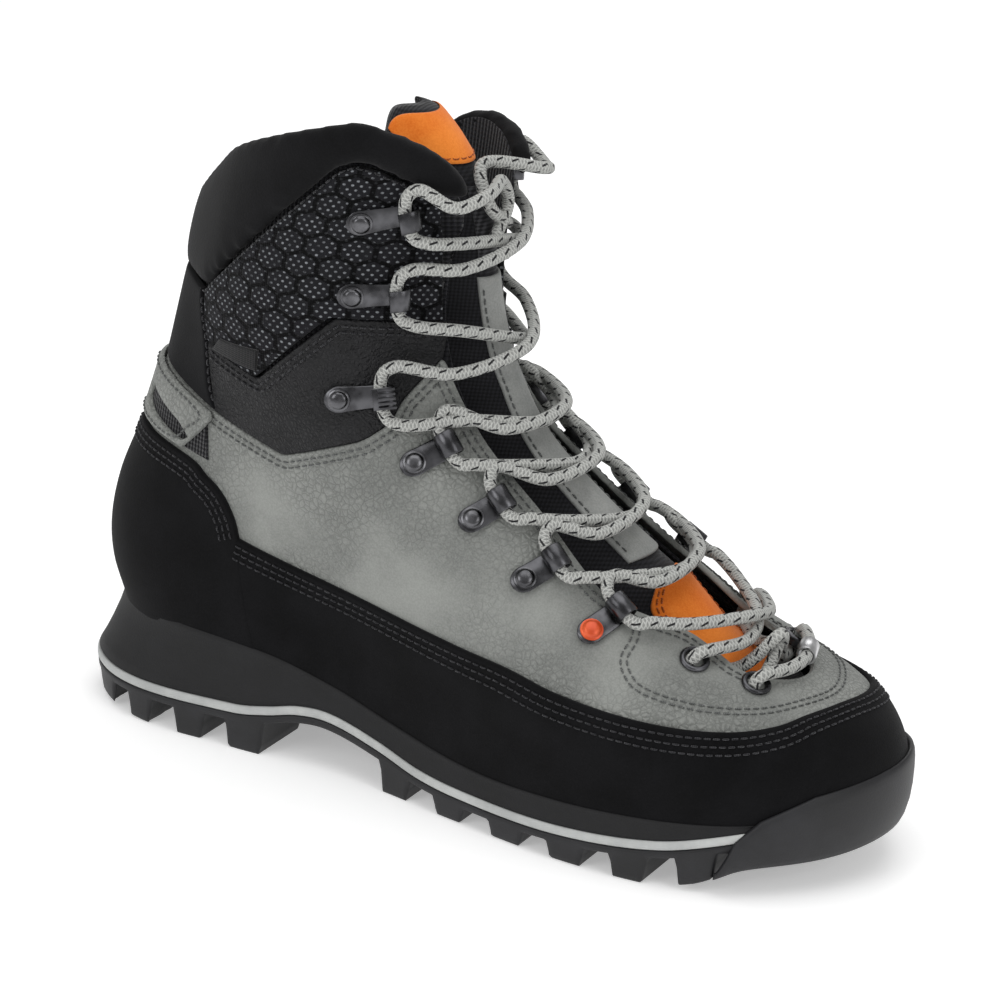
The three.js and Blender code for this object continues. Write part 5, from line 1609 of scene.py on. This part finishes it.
def bore(e, downwards):
    """Down through an eyelet and out from beneath the leather, or the other way."""
    points = [e["origin"] + e["n"] * h for h in (e["lift"] + 2.6, UNDER - 0.4)] + [above(*under_eye(e))]
    return points if downwards else points[::-1]


def knot_end(side):
    """The half knot: each end crosses the middle and tucks under the other."""
    places = {-1: [[0.16, 10.12, 3.2], [-0.14, 10.4, 4.6], [-0.02, 10.6, STRAND_HIGH], [0.45, 10.7, 8.9],
                   [0.78, 10.68, 8.9]],
              1: [[-0.78, 10.68, 8.9], [-0.45, 10.7, 8.9], [0.02, 10.68, STRAND_LOW], [0.14, 10.42, 3.8],
                  [-0.16, 10.2, 3.2]]}[side]
    p = np.array(places)
    return list(lean_back(above(p[:, 0], p[:, 1], p[:, 2]), p[:, 1],
                          np.maximum(1 - (p[:, 0] / 0.6) ** 2, 0) ** 1.5))


route += knot_end(-1)
down = ["L7", "M6", "L5", "M4", "L3", "M2", "L1"]
for i, name in enumerate(down):
    route += pass_through(name, False)
    if i + 1 < len(down):
        route += strand(end_of(name, -1), end_of(down[i + 1], 1), STRAND_HIGH if i % 2 else STRAND_LOW)
l1, l2, m1, m2 = EYES[(0, -1)], EYES[(1, -1)], EYES[(0, 1)], EYES[(1, 1)]
route += strand(end_of("L1", -1), over_eye(m2), STRAND_HIGH) + bore(m2, True)
route += strand(under_eye(m2), under_eye(l1), STRAND_LOW) + bore(l1, False)
front_bar = strand(over_eye(l1), over_eye(m1), STRAND_LOW)
route += front_bar + bore(m1, True)
route += strand(under_eye(m1), under_eye(l2), STRAND_HIGH) + bore(l2, False)
route += strand(over_eye(l2), end_of("M1", -1), STRAND_LOW)
up_order = ["M1", "L2", "M3", "L4", "M5", "L6", "M7"]
for i, name in enumerate(up_order):
    route += pass_through(name, True)
    if i + 1 < len(up_order):
        route += strand(end_of(name, 1), end_of(up_order[i + 1], -1), STRAND_HIGH if i % 2 else STRAND_LOW)
route += knot_end(1)
route = np.array([np.asarray(p, float).reshape(3) for p in route])
print("route:", len(route), "points")


def spline(points, each=14):
    """Centripetal Catmull-Rom through points, with some steps in each leg."""
    p = np.vstack([2 * points[0] - points[1], points, 2 * points[-1] - points[-2]])
    legs = np.maximum(np.linalg.norm(np.diff(p, axis=0), axis=1), 1e-4) ** 0.5
    t = np.linspace(0, 1, each, endpoint=False)[:, None]
    out = []
    for i in range(1, len(p) - 2):
        d0, d1, d2 = legs[i - 1], legs[i], legs[i + 1]
        m1 = (p[i] - p[i - 1]) / d0 - (p[i + 1] - p[i - 1]) / (d0 + d1) + (p[i + 1] - p[i]) / d1
        m2 = (p[i + 1] - p[i]) / d1 - (p[i + 2] - p[i]) / (d1 + d2) + (p[i + 2] - p[i + 1]) / d2
        m1, m2 = m1 * d1, m2 * d1
        out.append((2 * t ** 3 - 3 * t ** 2 + 1) * p[i] + (t ** 3 - 2 * t ** 2 + t) * m1
                   + (3 * t ** 2 - 2 * t ** 3) * p[i + 1] + (t ** 3 - t ** 2) * m2)
    return np.vstack(out + [points[-1:]])


def even(line, gap):
    """A polyline stepped evenly."""
    walk = np.concatenate([[0], np.cumsum(np.linalg.norm(np.diff(line, axis=0), axis=1))])
    at = np.linspace(0, walk[-1], int(walk[-1] / gap) + 1)
    return np.stack([np.interp(at, walk, line[:, k]) for k in range(3)], -1), at


def carried_frames(line):
    """Side and lift directions along a line, carried so that they never twist."""
    run = unit(np.gradient(line, axis=0))
    side = np.zeros_like(run)
    side[0] = unit(np.cross(run[0], [0, 0, 1.0]))
    for i in range(1, len(line)):
        side[i] = side[i - 1] - run[i] * (side[i - 1] @ run[i])
        side[i] /= np.linalg.norm(side[i])
    return side, np.cross(run, side)


def tube(line, radius, sides, at):
    """Closed tube round a line, with a map of (length, share of a turn)."""
    side, lift = carried_frames(line)
    turn = np.linspace(0, 2 * PI, sides + 1)
    ring = side[:, None] * np.cos(turn)[None, :, None] + lift[:, None] * np.sin(turn)[None, :, None]
    points = line[:, None] + ring * np.reshape(radius, (-1, 1, 1))
    uv = np.stack(np.broadcast_arrays(at[:, None] / 1000, (turn / (2 * PI))[None]), -1).reshape(-1, 2)
    n, m = len(line), sides + 1
    return points.reshape(-1, 3), [list(map(int, f)) for f in grid_quads(n, m)] + [list(range(sides))[::-1],
        [(n - 1) * m + k for k in range(sides)]], uv


lace_line, lace_at = even(spline(route), 1.5)
end_taper = np.clip(np.minimum(lace_at, lace_at[-1] - lace_at) / 2.2, 0, 1)
lace_radius = LACE_D / 2 * (0.55 + 0.45 * np.sqrt(1 - (1 - end_taper) ** 2))
points, faces, uv = tube(lace_line, lace_radius, 14, lace_at)
lace = to_object("lace_braid", points, faces, "lace", uv)
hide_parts("lace")
print("lace length:", round(lace_at[-1]), "mm,", len(faces), "faces")

# %% Lace tag
bar_axis = unit(front_bar[2] - front_bar[1])
bar_middle = (front_bar[1] + front_bar[2]) / 2
tag_side = unit(np.cross(bar_axis, m1["n"]))
inner, outer, half = 2.75, 3.5, 4.3
profile = [(inner, -half), (outer - 0.2, -half), (outer, -half + 0.3), (outer, half - 0.3),
           (outer - 0.2, half), (inner, half), (inner, -half)]
points, faces = turned(profile)
metal_piece("lace_tag_sleeve",
            [(on_frame(points, bar_middle, tag_side, bar_axis, np.cross(tag_side, bar_axis)),
              faces)], "silver", ["lace_tag"])
print("tag made")

# %% [markdown]
# Stitches are small thread humps set along offset seam lines. One template of a few dozen faces is
# repeated at an even step, and each row is a single object.

# %% Stitching
STITCH_STEP, STITCH_LENGTH, THREAD = 3.1, 2.5, 0.34
DOUBLE, TRIPLE = [-2.4, -4.6], [-2.4, -4.8, -7.2]  # rows beside a seam
ON_LEATHER, ON_RAND, ON_CAP, ON_STAY, ON_STRAP = 0.12, 2.0, 2.1, 0.62, 2.9  # heights of the stitched faces


def stitch_rows(name, points, normals, finish, body="boot"):
    """Humps along polylines: p + t s L + n h(s) + a ring of radius r(s), where h and r fall to the ends."""
    all_points, all_faces, start = [], [], 0
    s = np.array([-0.5, -0.42, -0.2, 0.2, 0.42, 0.5])
    radius = THREAD * np.array([0.25, 0.8, 1.0, 1.0, 0.8, 0.25])
    hump = np.array([-0.35, 0.0, 0.2, 0.2, 0.0, -0.35])
    turn = np.linspace(0, 2 * PI, 6, endpoint=False)
    for line, normal in zip(points, normals):
        walk = np.concatenate([[0], np.cumsum(np.linalg.norm(np.diff(line, axis=0), axis=1))])
        count = max(int(walk[-1] / STITCH_STEP), 1)
        at = (np.arange(count) + 0.5) * walk[-1] / count
        p = np.stack([np.interp(at, walk, line[:, k]) for k in range(3)], -1)
        n = unit(np.stack([np.interp(at, walk, normal[:, k]) for k in range(3)], -1))
        q = np.stack([np.interp(np.minimum(at + 0.5, walk[-1]), walk, line[:, k]) for k in range(3)], -1)
        r = np.stack([np.interp(np.maximum(at - 0.5, 0), walk, line[:, k]) for k in range(3)], -1)
        t = unit(q - r)
        b = np.cross(n, t)
        ring = b[:, None, None] * np.cos(turn)[None, None, :, None] + n[:, None, None] * np.sin(turn)[None,
            None, :, None]
        grid = p[:, None, None] + t[:, None, None] * (s * STITCH_LENGTH)[None, :, None, None] + n[:, None,
            None] * hump[None, :, None, None]
        grid = grid + ring * radius[None, :, None, None]
        k, m = len(s), len(turn)
        template = capped(k, m)
        for i in range(count):
            base = start + i * k * m
            all_faces += [[x + base for x in face] for face in template]
        all_points.append(grid.reshape(-1, 3))
        start += count * k * m
    piece = to_object(name, np.concatenate(all_points), all_faces, finish, body=body)
    recalc(piece)
    return piece


def on_form(curve, height):
    """A seam line's points and normals at a height over the form."""
    normal = form_normal(curve[:, 0], curve[:, 1])
    return form(curve[:, 0], curve[:, 1]) + normal * height, normal


def sew(name, curves, distances, height, finish):
    """Rows beside each curve at several distances, as one object."""
    lines = [on_form(offset(c, d), height) for c in curves for d in distances]
    piece = stitch_rows(name, [a for a, _ in lines], [b for _, b in lines], finish)
    return piece


def pair(curve, n=120):
    """A lateral curve and its mirror."""
    c = spaced(curve, n)
    return [c, mirror(c)[::-1]]


quarter_seam = spaced(TOP_OF_QUARTER, 160)
sew("quarter_stitching", pair(quarter_seam[8:-4], 160), DOUBLE, ON_LEATHER, "grey_thread")
throat_seam = spaced(THROAT[:-14], 160)
sew("throat_stitching", pair(throat_seam, 160), [-2.6, -4.9], ON_LEATHER, "grey_thread")
vamp_seam = rounded([[0.6, 5.32], [0.78, 4.72], [0.84, 4.2], [0.82, 3.91], [0.69, 3.70], [0.49, 3.68],
                     [0.24, 3.8], [0.0, 3.8]], 120)
vamp_loop = np.concatenate([vamp_seam, mirror(vamp_seam)[::-1][1:]])
sew("vamp_stitching", [vamp_loop], [0.0, -2.2], ON_LEATHER, "grey_thread")
sew("rand_stitching", [spaced(RAND_TOP, 300)[4:-4]], TRIPLE, ON_RAND, "black_thread")
cap_seam = spaced(CAP_TOP, 140)
sew("heel_cap_stitching", pair(cap_seam[3:], 140), TRIPLE, ON_CAP, "black_thread")
sew("ankle_stitching", pair(spaced(ZIGZAG, 100)[3:-3], 100), DOUBLE, ON_LEATHER, "black_thread")
collar_seam = spaced(COLLAR_LOW, 140)
sew("collar_stitching", [collar_seam[20:-6], mirror(spaced(MEDIAL_LOW, 140)[20:-6])[::-1]], [-1.6], -0.15,
    "black_thread")
stay_line = np.stack([np.full(60, PI), np.linspace(7.15, 8.9, 60)], -1)
sew("back_stay_stitching", [stay_line], [1.3, -1.3], ON_STAY, "black_thread")
sew("stay_edge_stitching", pair(spaced(STAY_FRONT, 60)[4:-4], 60), [-1.8], ON_STAY, "black_thread")
strap_edge = rounded([[3.02, 5.68], [2.7, 5.66], [2.46, 5.7], [2.36, 6.1], [2.27, 6.6], [2.6, 6.74],
                      [3.02, 6.82]], 100)
sew("heel_strap_stitching", pair(strap_edge, 100), [0.0], ON_STRAP, "grey_thread")
print("seams sewn")

# %% Tongue stitching and side tag


def tongue_line(angle, v, height):
    """A line on the tongue with its normals."""
    angle, v = np.broadcast_arrays(np.asarray(angle, float), np.asarray(v, float))
    p = lean_back(above(angle, v, crown(angle, v) + height), v, 1.0)
    run = np.gradient(p, axis=0)
    side = lean_back(above(angle + 0.02, v, crown(angle + 0.02, v) + height), v, 1.0) - p
    normal = unit(np.cross(run, side))
    flip = np.sign((normal * form_normal(angle, v)).sum(-1))[:, None]
    return p, normal * flip


v = np.linspace(6.4, 9.65, 90)
lines = [tongue_line(-0.235 + 0 * v, v, 1.4), tongue_line(0.205 + 0 * v, v, 1.4)]
stitch_rows("strip_stitching", [a for a, _ in lines], [b for _, b in lines], "grey_thread",
                    body="tongue")
lines = []
for inset in (0.03, 0.06):
    v = np.linspace(4.78, 5.98, 60)
    half = smooth(PATCH_RINGS, PATCH_HALF, v) - inset
    lines += [tongue_line(sign * half, v, 1.5) for sign in (-1, 1)]
angle = np.linspace(-0.5, 0.5, 60)
rim = [tongue_line(angle, 10.7 + 0 * angle, 1.4)]
stitch_rows("patch_stitching", [a for a, _ in lines + rim], [b for _, b in lines + rim],
                    "orange_thread", body="tongue")
tag_low, tag_high = spaced(np.array([[2.16, 8.1], [1.98, 8.14], [1.8, 8.2]]),
    20), spaced(np.array([[2.08, 8.42], [1.92, 8.52], [1.76, 8.62]]), 20)
tag = plate("side_tag_plain", patch(tag_low, tag_high, 24, 12, rim=(0.02, 0.05)), -0.2, 0.75, "side_tag",
            0.5)
print("tongue stitching and tag made")

# %% [markdown]
# Locking hooks carry a small toothed plate beside the loop, as a cleat for the lace.

# %% Locking plates
for side in (-1, 1):
    f = SITES[("hook", 0, side)]
    along = unit(np.cross(f["out"], f["n"]))
    parts = []
    for k in range(5):
        slab_points = np.array([[x, y, z] for x in (-4.6, 1.4) for y in (0.0, 1.1) for z in (-0.45, 0.45)],
                               float)
        slab_points[:, 2] += (k - 2) * 1.6
        slab_points[:, 1] += f["height"] + LOOP_R + 1.0
        slab_faces = [[0, 1, 3, 2], [4, 6, 7, 5], [0, 4, 5, 1], [2, 3, 7, 6], [0, 2, 6, 4], [1, 5, 7, 3]]
        parts.append((on_frame(slab_points, f["origin"], f["out"], f["n"], along), slab_faces))
    points = np.concatenate([p for p, _ in parts])
    faces = [[i + 8 * k for i in face] for k, (_, fs) in enumerate(parts) for face in fs]
    teeth = to_object(f"locking_teeth_{f['label']}", points, faces, "gunmetal", shade=False)
    recalc(teeth)
    bevel = teeth.modifiers.new("bevel", "BEVEL")
    bevel.width, bevel.segments = 0.0002, 2
print("locking plates made")

# %% [markdown]
# The pieces that keep their CAD shape are plain boards and cloth inside the boot. They take their
# finishes here.

# %% Inner pieces
INNER = {"footbed": "lining", "lasting_board": "board", "shank": "gunmetal", "heel_counter": "board",
         "toe_puff": "board",
         "gusset_lateral": "black_textile", "gusset_medial": "black_textile"}
for piece in bpy.data.objects:
    if piece.type == "MESH" and piece.name in INNER:
        piece.data.materials.clear()
        piece.data.materials.append(FINISH[INNER[piece.name]].material)
print("inner pieces finished")

# %% The end
print("sizes written")
